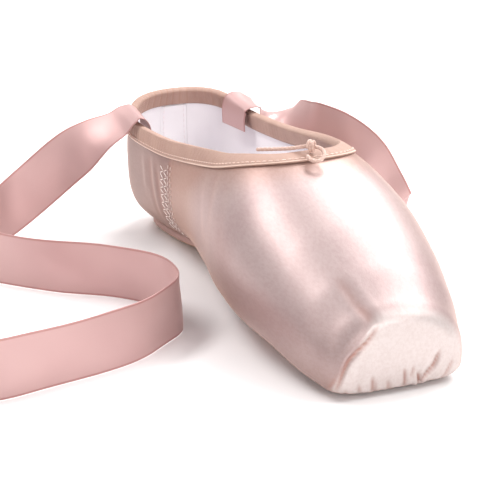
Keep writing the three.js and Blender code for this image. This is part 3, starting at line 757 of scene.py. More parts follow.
def stitch_tree(material):
    """A node tree that lays stitches along a seam line."""
    tree = bpy.data.node_groups.new("Stitches along a seam", "GeometryNodeTree")
    for name, way, kind, default in (
        ("Seam", "INPUT", "Geometry", None), ("Spacing", "INPUT", "Float", 0.0024),
        ("Stitch length", "INPUT", "Float", 0.0019), ("Thread", "INPUT", "Float", 0.0004),
        ("Lean", "INPUT", "Float", 0.0), ("Seed", "INPUT", "Int", STITCH_SEED),
        ("Stitches", "OUTPUT", "Geometry", None),
    ):
        socket = tree.interface.new_socket(name=name, in_out=way, socket_type="NodeSocket" + kind)
        if default is not None:
            socket.default_value = default
    given = add(tree, "NodeGroupInput").outputs
    line = add(tree, "GeometryNodeMeshToCurve", {"Mesh": given["Seam"]})
    spaced = add(tree, "GeometryNodeResampleCurve",
                 {"Curve": line, "Length": given["Spacing"]}, mode="LENGTH")
    normal = add(tree, "GeometryNodeInputNamedAttribute", {"Name": "skin_normal"},
                 data_type="FLOAT_VECTOR").outputs["Attribute"]
    index = add(tree, "GeometryNodeInputIndex")
    odd = add(tree, MATH, {0: index, 1: 2.0}, operation="MODULO")
    sign = add(tree, MATH, {0: odd, 1: 2.0, 2: -1.0}, operation="MULTIPLY_ADD")
    lean = add(tree, MATH, {0: sign, 1: given["Lean"]}, operation="MULTIPLY")
    sway = add(tree, "FunctionNodeRandomValue",
               {2: -STITCH_SWAY, 3: STITCH_SWAY, "Seed": given["Seed"]},
               data_type="FLOAT").outputs[1]
    turned = add(tree, "ShaderNodeVectorRotate", {
        "Vector": add(tree, "GeometryNodeInputTangent"), "Axis": normal,
        "Angle": add(tree, MATH, {0: lean, 1: sway}, operation="ADD"),
    }, rotation_type="AXIS_ANGLE")
    aim = add(tree, "FunctionNodeAlignRotationToVector", {"Vector": turned}, axis="X")
    stitch = add(tree, "GeometryNodeMeshUVSphere", {"Segments": 8, "Rings": 6, "Radius": 0.5})
    size = add(tree, "ShaderNodeCombineXYZ", {
        "X": given["Stitch length"], "Y": given["Thread"], "Z": given["Thread"],
    })
    laid = add(tree, "GeometryNodeInstanceOnPoints",
               {"Points": spaced, "Instance": stitch, "Rotation": aim, "Scale": size})
    real = add(tree, "GeometryNodeRealizeInstances", {"Geometry": laid})
    soft = add(tree, "GeometryNodeSetShadeSmooth", {"Geometry": real})
    dressed = add(tree, "GeometryNodeSetMaterial", {"Geometry": soft, "Material": material})
    add(tree, "NodeGroupOutput", {"Stitches": dressed})
    return tree


def sewn(name, rows, material, spacing, stitch, thread, lean=0.0):
    """Stitches of sizes in millimetres, along rows of points in the frame with the directions
    out of the cloth there, as one plain mesh."""
    edges, at = [], 0
    for line, _ in rows:
        edges += [(at + i, at + i + 1) for i in range(len(line) - 1)]
        at += len(line)
    mesh = bpy.data.meshes.new(name + "_line")
    mesh.from_pydata(np.vstack([line for line, _ in rows]).tolist(), edges, [])
    layer = mesh.attributes.new("skin_normal", "FLOAT_VECTOR", "POINT")
    layer.data.foreach_set("vector", np.vstack([normals for _, normals in rows]).ravel())
    thing = bpy.data.objects.new(name, mesh)
    bpy.context.scene.collection.objects.link(thing)
    tree = stitch_tree(material)
    sewing = thing.modifiers.new("Stitches", "NODES")
    sewing.node_group = tree
    given = {"Spacing": spacing / 1000, "Stitch length": stitch / 1000,
             "Thread": thread / 1000, "Lean": lean, "Seed": STITCH_SEED}
    for socket in tree.interface.items_tree:
        if socket.in_out == "INPUT" and socket.name in given:
            sewing[socket.identifier] = given[socket.name]
    state = bpy.context.evaluated_depsgraph_get()
    plain = bpy.data.meshes.new_from_object(thing.evaluated_get(state))
    thing.modifiers.remove(sewing)
    thing.data = plain
    plain.name = name
    if not plain.polygons:
        raise RuntimeError(name + " has no stitches")
    bpy.data.meshes.remove(mesh)
    return thing


# Folds and creases, placed on the shoe: depth and width in millimetres, a trough where
# depth is positive and a ridge where it is negative, along points of x, y, z

Crease = namedtuple("Crease", "depth width points")
LIP_HEIGHT, LIP_AT = 0.35, 2.1  # beside a fold: in depths of the fold, and in its widths
CREASES = [
    # the edge of the flat toe, from its top to the floor on the right side
    Crease(0.8, 0.72, [(239.6, -8.5, 25), (240, -11.8, 21.4), (240, -15.7, 18.2),
                       (240, -18.9, 15.2), (240, -20.6, 11.9), (239.6, -22.2, 7.7),
                       (238.4, -23.8, 3)]),
    Crease(-0.4, 1.9, [(240, -12, 18), (240, -15.4, 14), (240, -17, 9), (240, -17.6, 4)]),
    # short folds at the foot of the flat toe
    Crease(0.5, 0.7, [(240, -23, 10), (236, -25, 4.5)]),
    Crease(0.55, 0.7, [(240, -10.2, 7.5), (240, -10.2, 1.5)]),
    Crease(0.6, 0.55, [(240, 1.4, 9), (240, 1.9, 1.5)]),
    Crease(0.4, 0.55, [(240, 5, 9.4), (240, 3.9, 5.5)]),
    Crease(0.9, 0.6, [(240, 6.6, 6.4), (240, 7.6, 1.5)]),
    Crease(0.7, 0.65, [(240, 14.9, 13.2), (240, 12.5, 8.4), (240, 9.1, 5.1), (240, 7.4, 2.5)]),
    Crease(-0.5, 1.2, [(240, 16.6, 12.5), (240, 14, 7.2), (240, 11.2, 3.6)]),
    Crease(0.45, 0.6, [(240, 20, 9), (240, 17.6, 4.8), (240, 16, 1.8)]),
    Crease(0.45, 0.7, [(240, -4.6, 5.4), (240, -4.2, 1.5)]),
    Crease(0.4, 0.7, [(240, -15.2, 5.4), (240, -14.6, 1.5)]),
    # soft folds of the quarters, behind the side seams
    Crease(0.35, 2.2, [(66, -28.6, 40), (69, -28.6, 28), (72, -27, 16)]),
    Crease(0.3, 2.0, [(56, -28.4, 42), (58, -28.6, 30), (62, -27, 17)]),
    Crease(-0.3, 2.4, [(48, -28.3, 40), (50, -28.6, 26)]),
    Crease(0.35, 2.2, [(64, 28.6, 40), (68, 28.6, 28), (72, 27, 15)]),
    Crease(0.3, 2.0, [(52, 28.4, 41), (55, 28.6, 29), (60, 27, 17)]),
    # pulls in the satin of the vamp, from the wings and the throat
    Crease(0.22, 2.6, [(152, -26, 55), (160, -31, 46), (166, -35, 36)]),
    Crease(0.2, 2.4, [(140, -27, 55), (146, -31.5, 46), (150, -34, 36)]),
    Crease(-0.2, 3.0, [(132, -28, 52), (138, -32, 42), (142, -33.5, 33)]),
    Crease(0.22, 2.6, [(152, 26, 55), (160, 31, 46), (166, 35, 36)]),
    Crease(0.2, 2.4, [(139, 27, 55), (144, 31.5, 46), (149, 34, 36)]),
    # the pull that runs into the flat toe's long crease
    Crease(0.42, 2.0, [(222, -14.5, 38.5), (232, -12.5, 32.5), (238.8, -9.3, 26.6)]),
]
SEAM_AT = 83.0  # the side seams, from the heel
SEAM_LEAN = 0.02
SEAM_MIDDLE = 25.0
SEAM_DEPTH, SEAM_WIDTH = 0.35, 0.45
SEAM_SWELL, SEAM_SWELL_AT = 0.16, 1.5  # the allowances under the satin beside a seam
HEEL_SEAM_END = 8.0
FULL_SHADE_DEPTH = 0.8  # a fold this deep gets the full painted shade of a crease
PLEAT_CENTRE = 188.0  # the pleats under the toe fan out from here
PLEAT_TURN = 7.2  # degrees from one pleat to the next
TOE_CROWN = 0.9  # how far the middle of the flat toe swells


def seam_place(height):
    """How far from the heel a side seam stands at a height."""
    return SEAM_AT + SEAM_LEAN * (height - SEAM_MIDDLE)


def to_line(points, line):
    """Distance from points to a line of points, and the share of the line there."""
    line = np.asarray(line, float)
    reach = line_length(line)
    best = np.full(len(points), 1e9)
    share = np.zeros(len(points))
    for k in range(len(line) - 1):
        a, b = line[k], line[k + 1]
        t = np.clip(((points - a) @ (b - a)) / ((b - a) @ (b - a)), 0, 1)
        d = np.linalg.norm(points - (a + t[:, None] * (b - a)), axis=1)
        near = d < best
        best[near] = d[near]
        share[near] = (reach[k] + t[near] * (reach[k + 1] - reach[k])) / reach[-1]
    return best, share


def relief(p):
    """How far creases, seams and pleats lift the satin, and how deep in a fold it lies: its share
    of painted shade.
    """
    lift, depth = np.zeros(len(p)), np.zeros(len(p))
    for fold in CREASES:
        box = np.asarray(fold.points)
        near = np.all((p > box.min(0) - 4 * fold.width) & (p < box.max(0) + 4 * fold.width), axis=1)
        if not near.any():
            continue
        d, share = to_line(p[near], fold.points)
        fade = 1 - np.abs(2 * share - 1) ** 4 * 0.75
        trough, lip = bell(d / fold.width) * fade, bell(d / fold.width - LIP_AT) * fade
        lift[near] += fold.depth * (LIP_HEIGHT * lip - trough)
        if fold.depth > 0:
            # painted shade in the trough of a fold
            depth[near] = np.maximum(depth[near], trough * min(1, fold.depth / FULL_SHADE_DEPTH))
    # side seams and heel seam
    side = np.abs(p[:, 0] - seam_place(p[:, 2]))
    heel = np.where(p[:, 0] < HEEL_SEAM_END, np.abs(p[:, 1]), np.inf)
    for d in (side, heel):
        line = bell(d / SEAM_WIDTH)
        lift += SEAM_SWELL * bell(d - SEAM_SWELL_AT) - SEAM_DEPTH * line
        # painted shade along the seam
        depth = np.maximum(depth, 0.75 * line)
    # pleats gathered under the toe, fading up the box and the flat toe
    ahead = p[:, 0] - PLEAT_CENTRE
    angle = np.degrees(np.arctan2(p[:, 1], ahead + 6))
    wander = 2.2 * np.sin(np.radians(angle * 7)) + 1.3 * np.sin(np.radians(angle * 17 + 40))
    phase = ((angle + wander) / PLEAT_TURN) % 1
    fold = bell((phase - 0.3) / 0.085)
    tall = 4.2 + 2.4 * np.sin(np.radians(angle * 11 + 25)) * np.sin(np.radians(angle * 5))
    low = 1 - smooth(0.45 * tall, 1.5 * tall, p[:, 2])
    front = smooth(-4, 10, ahead) * low
    lift += front * (0.12 * np.sin(2 * np.pi * phase) - 0.34 * fold)
    # painted shade in the pleats
    depth = np.maximum(depth, 0.5 * front * fold)
    # the flat toe's soft crown
    face = np.clip(1 - (p[:, 1] / 22) ** 2 - ((p[:, 2] - 14) / 13) ** 2, 0, 1)
    lift += np.where(p[:, 0] > last_sizes()["length"] - 0.5, TOE_CROWN * face**1.6, 0)
    return lift, depth


# The camera's place and its three directions, in the frame
CAMERA_PLACE = (0.56165, -0.21784, 0.21738)
CAMERA_RIGHT = (0.358514, 0.933136, -0.026916)
CAMERA_UP = (-0.283702, 0.136377, 0.949165)
CAMERA_BACK = (0.889371, -0.332653, 0.313625)
CAMERA_LENS = 113.53

# Ribbon routes in the frame, metres and degrees: the middle line, z 0 where an edge is on the
# floor, and the bearing and slope of the width
Fold = namedtuple("Fold", "x y z turn tilt")
RIGHT_ROUTE = [
    Fold(-0.09, -0.0216, 0.0425, 176, 3), Fold(-0.09, -0.0218, 0.049, 176, 3),
    Fold(-0.0902, -0.0234, 0.0536, 176, 3), Fold(-0.0905, -0.0262, 0.0554, 178, 4),
    Fold(-0.091, -0.0296, 0.0539, 184, 5), Fold(-0.0922, -0.034, 0.0503, 190, 9),
    Fold(-0.0945, -0.044, 0.045, 202, 22), Fold(-0.097, -0.057, 0.036, 230, 48),
    Fold(-0.098, -0.071, 0.0255, 246, 56), Fold(-0.096, -0.085, 0.0165, 252, 68),
    Fold(-0.088, -0.098, 0, 254, 88),
    *(Fold(x, y, 0, 254, 90) for x, y in (
        (-0.076, -0.107), (-0.061, -0.1075), (-0.046, -0.098), (-0.029, -0.083), (-0.013, -0.063),
        (0.006, -0.0495), (0.022, -0.0466), (0.034, -0.049), (0.044, -0.058), (0.054, -0.07),
        (0.061, -0.0875), (0.0665, -0.11), (0.069, -0.128), (0.063, -0.144),
    )),
    Fold(0.048, -0.151, 0, 247, 90), Fold(0.033, -0.145, 0, 250, 70),
    Fold(0.017, -0.1385, 0, 262, 35), Fold(0, -0.137, 0, 276, 4), Fold(-0.017, -0.141, 0, 288, 0),
    Fold(-0.032, -0.148, 0, 296, 0),
]
LEFT_ROUTE = [
    Fold(-0.0931, 0.0207, 0.0425, 187, 5), Fold(-0.0931, 0.0209, 0.0496, 187, 5),
    Fold(-0.0929, 0.0222, 0.0531, 187, 7), Fold(-0.0922, 0.0257, 0.0543, 184, 8),
    Fold(-0.0913, 0.0297, 0.0531, 180, 6), Fold(-0.0893, 0.0338, 0.0497, 172, -4),
    Fold(-0.0842, 0.0383, 0.0475, 154, 14), Fold(-0.0756, 0.0412, 0.047, 132, 48),
    Fold(-0.0645, 0.0436, 0.047, 116, 70), Fold(-0.053, 0.0455, 0.048, 112, 78),
    Fold(-0.0409, 0.0504, 0.046, 112, 74), Fold(-0.031, 0.0565, 0.039, 112, 66),
    Fold(-0.0251, 0.0616, 0.027, 112, 70), Fold(-0.022, 0.0664, 0.016, 112, 80),
    *(Fold(x, y, 0, 112, 90) for x, y in (
        (-0.024, 0.0726), (-0.0339, 0.0774), (-0.0519, 0.079), (-0.0739, 0.0781),
        (-0.0959, 0.0754), (-0.1179, 0.071), (-0.134, 0.0629), (-0.1399, 0.0519),
        (-0.1329, 0.0435), (-0.1171, 0.0431), (-0.0979, 0.0475), (-0.0779, 0.051),
        (-0.0601, 0.0499), (-0.046, 0.0486), (-0.0381, 0.053), (-0.0429, 0.0605), (-0.0581, 0.064),
        (-0.0779, 0.0651), (-0.092, 0.0629), (-0.1041, 0.0611), (-0.116, 0.0585),
        (-0.1241, 0.0554),
    )),
]
FOLDED_THICKNESS = 0.0007  # what a ribbon takes up under a slanting stretch
FLOOR_GAP = 0.0003
# Across a ribbon, each place as a share of its width from the middle
RIBBON_SHARES = np.array([-0.5, -0.492, -0.47, -0.455, -0.3, -0.15, 0, 0.15, 0.3, 0.455, 0.47,
                          0.492, 0.5])
SELVEDGE_FROM = 0.45
INNER_THICKNESS, EDGE_THICKNESS = 0.72, 0.35  # as shares of the selvedge's thickness
RIPPLE_HEIGHT, RIPPLE_LENGTH = 0.0005, 0.043  # slow waves along a loose ribbon

# The drawstring's route from the top of the throat's edge, in units of so many millimetres
BEND_UNIT = 0.9
Bend = namedtuple("Bend", "ahead left up")
DRAWSTRING = [
    Bend(-14.4, -17.8, 1.6), Bend(-9.4, -11.7, 2.2), Bend(-5, -6.1, 2.9), Bend(1, 0.7, 4.5),
    Bend(4.9, 3.7, 3.6), Bend(8.4, 3, 1.7), Bend(9.8, 0, 0.4), Bend(8, -2.7, 0.8),
    Bend(5.2, -3.2, 2),
]
KNOT_ROW = 3  # the bend that the knot is tied at


def ribbon_line(route, width):
    """The ribbon's middle line and the directions of its width and its face."""

    def on_floor(tilt):
        return 0.5 * (width * np.sin(tilt) + FOLDED_THICKNESS * np.cos(tilt)) + FLOOR_GAP

    centres = np.array([(row.x, row.y, row.z) for row in route])
    tilts = np.radians([row.tilt for row in route])
    centres[:, 2] = np.maximum(centres[:, 2], on_floor(tilts))
    path, at = through_points(centres, 14)
    rows = np.arange(len(route))
    turn = np.radians(through(rows, [row.turn for row in route])(at))
    tilt = np.radians(through(rows, [row.tilt for row in route])(at))
    along = unit(np.gradient(path, axis=0))
    across = np.stack([np.cos(turn) * np.cos(tilt), np.sin(turn) * np.cos(tilt), np.sin(tilt)], 1)
    across = unit(across - (across * along).sum(1)[:, None] * along)
    path[:, 2] = np.maximum(path[:, 2], on_floor(tilt))
    return path, across, np.cross(along, across)


def placed(right, up, back, place):
    """Where a camera or a lamp stands, and how it is turned."""
    return Matrix([list(row) for row in zip(right, up, back, place)] + [[0, 0, 0, 1]])


class MakeCamera(bpy.types.Operator):
    """Set the camera at the photograph's angle to the shoe"""

    bl_idname = "pointe_shoe.camera"
    bl_label = "Camera"

    def execute(self, context):
        data = bpy.data.cameras.new("camera")
        data.lens = CAMERA_LENS
        data.sensor_width = 36
        data.clip_start, data.clip_end = 0.01, 20
        camera = bpy.data.objects.new("camera", data)
        camera.matrix_world = placed(CAMERA_RIGHT, CAMERA_UP, CAMERA_BACK, CAMERA_PLACE)
        context.scene.collection.objects.link(camera)
        context.scene.camera = camera
        return {"FINISHED"}


class MakeRibbons(bpy.types.Operator):
    """Make the two ankle ribbons, sewn inside the quarters and loose on the floor"""

    bl_idname = "pointe_shoe.ribbons"
    bl_label = "Ribbons"

    def execute(self, context):
        trim = trim_sizes()
        width, thick = trim["ribbon_width"] / 1000, trim["ribbon_thickness"] / 1000
        finish = ribbon_finish()
        shares = RIBBON_SHARES
        edge = np.where(np.abs(shares) > SELVEDGE_FROM, 1.0, INNER_THICKNESS)
        edge[[0, -1]] = EDGE_THICKNESS
        for side, route in (("right", RIGHT_ROUTE), ("left", LEFT_ROUTE)):
            path, across, face = ribbon_line(route, width)
            reach = line_length(path)
            calm = smooth(0.03, 0.08, reach) * smooth(0, 0.03, reach[-1] - reach)
            ripple = RIPPLE_HEIGHT * calm[:, None] * np.sin(
                2 * np.pi * (reach[:, None] / RIPPLE_LENGTH + 0.6 * shares) + 1.3
            ) * (1 - 0.4 * (2 * shares) ** 2)
            middle = path[:, None, :] + across[:, None, :] * (shares * width)[None, :, None]
            faces = [middle + face[:, None, :] * (way * 0.5 * thick * edge + ripple)[:, :, None]
                     for way in (1, -1)]
            loop = np.concatenate([faces[0], faces[1][:, ::-1]], axis=1)
            across_share = np.r_[shares + 0.5, (shares + 0.5)[::-1]]
            uv = np.stack(np.broadcast_arrays(across_share[None, :], 1000 * reach[:, None]), -1)
            band = piece("ribbon_" + side + "_satin", loop.reshape(-1, 3),
                         closed_band(*loop.shape[:2])[:, ::-1], [finish], uv=uv.reshape(-1, 2))
            fasten(band, "ribbon_" + side)
            tuple(path[0])
        return {"FINISHED"}


KNOT_WIDTH = 0.0019  # along the cord, from the first turn of the knot to its last
KNOT_TURNS = (-0.35, 4.35 * np.pi)
KNOT_CORD = 0.8  # the pulled cord's thickness, as a share of the slack one's
CORD_STEPS = 26  # points from one bend to the next


class MakeDrawstring(bpy.types.Operator):
    """Make the drawstring's end with its small knot at the throat"""

    bl_idname = "pointe_shoe.drawstring"
    bl_label = "Drawstring"

    def execute(self, context):
        trim = trim_sizes()
        form = Last(last_sizes())
        radius = trim["cord_radius"] / 1000
        throat = form.skin(np.array([form.s["throat_at"], 0, form.core]), np.array([0.0, 0, 1]))
        bends = np.array([(b.ahead, b.left, b.up) for b in DRAWSTRING]) * BEND_UNIT + throat
        path, _ = through_points(metres(bends), CORD_STEPS)
        finish = cord_finish()
        cord = laid_cord("drawstring_cord", path, radius, finish, 30)
        middle = KNOT_ROW * CORD_STEPS
        along = unit(path[middle + 1] - path[middle - 1])
        side = unit(np.cross(along, [0, 0, 1.0]))
        up = np.cross(side, along)
        turn = np.linspace(*KNOT_TURNS, 150)[:, None]
        swing = trim["knot_radius"] / 1000 * (1 + 0.12 * np.sin(1.5 * turn))
        shift = (turn / (4 * np.pi) - 0.5) * KNOT_WIDTH
        wrap = path[middle] + swing * (np.cos(turn) * side + np.sin(turn) * up) + shift * along
        knot = laid_cord("drawstring_knot_cord", wrap, KNOT_CORD * radius, finish, 24)
        fasten(cord, "drawstring")
        fasten(knot, "drawstring_knot")
        tuple(path[0])
        float(line_length(path)[-1])
        return {"FINISHED"}


COLUMNS = 222  # of the upper's mesh, from the heel round to the flat toe
ROWS_OUT = 138
ROWS_IN = 38


CREASE_TOP = (-8.5, 25)  # y and z of the top of the flat toe's long crease
FROM_CREASE = (0.821, -0.571)  # the way from that crease into the flat toe


def tones(form, p, to_edge):
    """How peach, mauve and pale the satin is at points of the skin: peach and mauve are
    painted shade, pale is painted light.
    """
    # painted shade: peach near the collar, near the floor and on the sides of the waist
    low = 1 - smooth(2, 16, p[:, 2])
    collar = 1 - smooth(4, 22, to_edge)
    quarter = 1 - smooth(SEAM_AT - 2, SEAM_AT + 1, p[:, 0])
    waist = (1 - smooth(SEAM_AT + 16, SEAM_AT + 52, p[:, 0])) * smooth(12, 24, np.abs(p[:, 1]))
    peach = np.clip(0.7 * collar + 0.4 * low + 0.75 * waist, 0, 0.85) * (1 - 0.6 * quarter)
    # painted shade: mauve over the quarters and low on the sides
    side = 1 - smooth(14, 34, p[:, 2])
    mauve = np.clip(0.8 * quarter + 0.35 * side, 0, 0.85)
    # painted light: the flat toe is pale, as where it is lit, as far as the long crease on its
    # right side
    from_crease = (p[:, 1:] - CREASE_TOP) @ FROM_CREASE
    pale = smooth(form.s["length"] - 4.5, form.s["length"] - 0.4, p[:, 0])
    pale = pale * smooth(-3.4, -1.4, from_crease)
    return {"peach": peach, "mauve": mauve * (1 - pale), "pale": 0.9 * pale}


def spread(form, line, rows, turn_weight=5.0):
    """Points along a profile line, closer where the skin turns."""
    normals = form.outward(line)
    turn = np.r_[0, np.cumsum(np.linalg.norm(np.diff(normals, axis=0), axis=1))]
    measure = line_length(line) + turn_weight * turn
    want = np.linspace(0, measure[-1], rows)
    return np.stack([np.interp(want, measure, line[:, k]) for k in range(3)], 1)


class MakeUpper(bpy.types.Operator):
    """Make the satin upper over its lined, stiffened wall"""

    bl_idname = "pointe_shoe.upper"
    bl_label = "Upper"

    def execute(self, context):
        form = Last(last_sizes())
        lines = form.profiles(COLUMNS)
        outer = np.array([spread(form, line, ROWS_OUT) for line in lines])
        columns = len(outer)
        normals = form.outward(outer)
        flat = outer.reshape(-1, 3)
        lift, depth = relief(flat)
        ends = np.array([line[-1] for line in lines])
        to_edge = np.linalg.norm(outer - ends[:, None, :], axis=2).ravel()
        low_edge = np.tile(np.arange(ROWS_OUT) / 12.0, columns)
        calm = smooth(5.5, 10, to_edge) * smooth(0, 1, low_edge)
        dress = (flat + normals.reshape(-1, 3) * (lift * calm)[:, None]).reshape(outer.shape)
        dress[..., 0] = np.minimum(dress[..., 0], form.s["length"] + 1.6)
        dress[..., 2] = np.maximum(dress[..., 2], 0.5)
        inner = []
        for line in lines:
            points = spread(form, line, ROWS_IN)[::-1]
            inner.append(points - form.outward(points) * form.wall(points)[:, None])
        inner = np.array(inner)
        rings = np.concatenate([dress, inner], axis=1)
        count = ROWS_OUT + ROWS_IN
        faces = grid_faces(columns, count, closed_rows=True, closed_columns=True)
        inside = np.tile(np.arange(count) >= ROWS_OUT - 1, columns)
        values = {}
        # crease is painted shade in the folds, seams and pleats; the tones are painted shade and
        # light
        for name, value in {"crease": depth * calm, **tones(form, flat, to_edge)}.items():
            grid = np.zeros((columns, count))
            grid[:, :ROWS_OUT] = value.reshape(columns, ROWS_OUT)
            values[name] = grid.ravel()
        around = np.linspace(0, 1, columns)
        up_share = np.r_[np.linspace(0, 1, ROWS_OUT), np.linspace(1, 0, ROWS_IN)]
        uv = np.stack(np.broadcast_arrays(around[:, None], up_share[None, :]), -1)
        upper = piece("satin_upper", metres(rings.reshape(-1, 3)), faces,
                      [satin_finish(), lining_finish()], uv=uv.reshape(-1, 2),
                      values=values, inside=inside)
        fasten(upper, "upper")
        return {"FINISHED"}


TAPE_EASING = 5.0  # how far the tape's lower edge rounds off the collar's corners
TAPE_GAP = 0.3  # between the tape and the upper
TAPE_DEPTHS = 9
STITCH_DEPTH = 6  # the one of those that the tape's stitches follow


def collar_strip(form, lines, width):
    """The skin near the collar on even steps round it: the depths below its edge, the points at
    each, the steps and the whole length round.
    """
    depths = np.linspace(0, width, TAPE_DEPTHS)
    below = np.array([at_distance(line[::-1], depths) for line in lines])
    loop = np.concatenate([below, below[:1]])
    reach = line_length(loop[:, 0])
    want = np.linspace(0, reach[-1], 1300, endpoint=False)
    strip = np.empty((len(want), len(depths), 3))
    for d in range(len(depths)):
        for k in range(3):
            strip[:, d, k] = np.interp(want, reach, loop[:, d, k])
    # the tape's lower edge runs in a softer curve than the collar's edge does
    waves = np.fft.fftfreq(len(want), reach[-1] / len(want))
    for d, depth in enumerate(depths):
        calm = np.exp(-2 * (np.pi * waves * TAPE_EASING * depth / width) ** 2)
        line = np.fft.ifft(np.fft.fft(strip[:, d], axis=0) * calm[:, None], axis=0).real
        for _ in range(2):
            line -= form.outward(line) * form.outside(line)[:, None]
        strip[:, d] = line
    return depths, strip, want, reach[-1]


class MakeBinding(bpy.types.Operator):
    """Make the gathered binding tape folded over the collar"""

    bl_idname = "pointe_shoe.binding"
    bl_label = "Binding"

    def execute(self, context):
        form = Last(last_sizes())
        trim = trim_sizes()
        lines = form.profiles(150)
        depths, strip, reach, total = collar_strip(form, lines, trim["binding_width"])
        normals = form.outward(strip)
        wall = form.wall(strip)
        up = unit(strip[:, 0] - strip[:, 1])
        out = TAPE_GAP + trim["binding_thickness"]
        # gathers, tight round the heel and slack towards the throat
        slack = 0.35 + 0.65 * (1 - smooth(30, 95, strip[:, 0, 0]))
        lap = 2 * np.pi * reach / total
        turns = lap * round(total / trim["gather"])
        wander = 0.9 * np.sin(9 * lap) + 0.7 * np.sin(23 * lap + 1)
        wave = slack * (np.sin(turns + wander) + 0.45 * np.sin(1.93 * turns + 2 * wander))
        pull = 0.11 * wave
        last = TAPE_DEPTHS - 1
        section, sides, hollow_shades = [], [], []

        def add_row(k, off, side, hollow_shade=0 * reach, rise=0 * reach):
            """Points off the skin at a depth, or above it, with their place across the tape and
            their painted shade.
            """
            section.append(strip[:, k] + normals[:, k] * off[:, None] + up * rise[:, None])
            sides.append(side)
            hollow_shades.append(hollow_shade)

        # the tape is painted darker, as shade, where its gathers dip in
        for k in range(last, -1, -1):
            share = depths[k] / depths[-1]
            full = np.sin(np.pi * share) ** 0.6
            cushion = 0.18 * np.sin(np.pi * share)
            piping = 0.22 * bell((depths[k] - depths[-1] + 0.55) / 0.5)
            add_row(k, out - 0.12 + cushion + piping + pull * full, 1 - share,
                    0.8 * np.clip(-wave * full - 0.35, 0, 1))
        for a in np.linspace(0.12, 0.88, 9):
            turn = np.pi * a
            off = (0.5 * wall[:, 0] + out) * np.cos(turn) - 0.5 * wall[:, 0]
            add_row(0, off, 1 + a, 0.7 * np.clip(-wave - 0.45, 0, 1),
                    out * np.sin(turn) ** 0.8 + 0.6 * pull * np.sin(turn))
        for k in range(TAPE_DEPTHS):
            share = depths[k] / depths[-1]
            full = np.sin(np.pi * share) ** 0.6
            add_row(k, -(wall[:, k] + out - 0.1 + pull * full), 2 + share,
                    0.6 * np.clip(-wave - 0.45, 0, 1))
        for k in (last, 0):
            add_row(k, -(wall[:, k] + TAPE_GAP), 3.1)
        for k in (0, last):
            add_row(k, TAPE_GAP + 0 * reach, 3.2)
        rings = np.stack(section, 1)
        faces = grid_faces(*rings.shape[:2], closed_rows=True, closed_columns=True)
        uv = np.stack(np.broadcast_arrays(reach[:, None], np.array(sides)[None, :]), -1)
        # crease here is painted shade in the hollows of the gathers
        tape = piece("binding_tape", metres(rings.reshape(-1, 3)), faces, [binding_finish()],
                     uv=uv.reshape(-1, 2), values={"crease": np.stack(hollow_shades, 1).ravel()})
        fasten(tape, "collar_binding")
        outward = normals[:, STITCH_DEPTH]
        line = strip[:, STITCH_DEPTH] + outward * (out + 0.16)
        row = [np.vstack([points, points[:1]]) for points in (metres(line), outward)]
        seam = sewn("binding_stitches", [row],
                    thread_finish("peach_binding_thread", colour("#E3BFAC")),
                    trim["stitch_spacing"], trim["stitch_length"], trim["thread"])
        fasten(seam)
        return {"FINISHED"}


# Rows of stitches up each side: how far ahead of the seam, from and to which height
SeamRow = namedtuple("SeamRow", "ahead low high")
SEAM_ROWS = [SeamRow(-1.6, 9, 43.5), SeamRow(1.5, 9, 43.5)]
ZIGZAG_ROWS = [SeamRow(-5.2, 15, 41), SeamRow(-10, 15, 41)]
ZIGZAG_SPACING, ZIGZAG_STITCH, ZIGZAG_LEAN = 1.6, 4.4, 1.25
HEEL_ROWS = (-1.3, 1.3)
HEEL_CENTRE = 40.0  # the seam and the tape at the heel are aimed from here
SEAM_PROUD, ZIGZAG_PROUD = 0.16, 0.12  # how far the thread stands out from the skin


def raised(form, line, proud):
    """A row of stitches in the frame, a little out from the skin, and the directions out."""
    normals = form.outward(line)
    return metres(line + proud * normals), normals


def up_the_sides(form, table, proud):
    """Rows of stitches up both sides."""
    rows = []
    for side in (-1, 1):
        for row in table:
            z = np.linspace(row.low, row.high, 40)
            centre = np.stack([seam_place(z) + row.ahead, 0 * z, z], 1)
            line = form.skin(centre, np.tile([0.0, side, 0], (len(z), 1)))
            rows.append(raised(form, line, proud))
    return rows


def up_the_heel(form):
    """Rows of stitches up the heel seam."""
    z = np.linspace(9, 49, 44)
    centre = np.stack([0 * z + HEEL_CENTRE, 0 * z, z], 1)
    for y in HEEL_ROWS:
        aim = np.tile([-1.0, y / HEEL_CENTRE, 0], (len(z), 1))
        yield raised(form, form.skin(centre, aim), SEAM_PROUD)


class MakeSeams(bpy.types.Operator):
    """Sew the side seams, the zig-zag patches behind them and the heel seam"""

    bl_idname = "pointe_shoe.seams"
    bl_label = "Seams"

    def execute(self, context):
        form = Last(last_sizes())
        trim = trim_sizes()
        finish = thread_finish("pale_pink_thread", shade("thread"))
        straight = up_the_sides(form, SEAM_ROWS, SEAM_PROUD) + list(up_the_heel(form))
        zigzag = up_the_sides(form, ZIGZAG_ROWS, ZIGZAG_PROUD)
        seams = sewn("seam_stitches", straight, finish, trim["stitch_spacing"],
                     trim["stitch_length"], 0.9 * trim["thread"])
        patches = sewn("zigzag_stitches", zigzag, finish, ZIGZAG_SPACING, ZIGZAG_STITCH,
                       trim["thread"], ZIGZAG_LEAN)
        fasten(seams)
        fasten(patches)
        return {"FINISHED"}


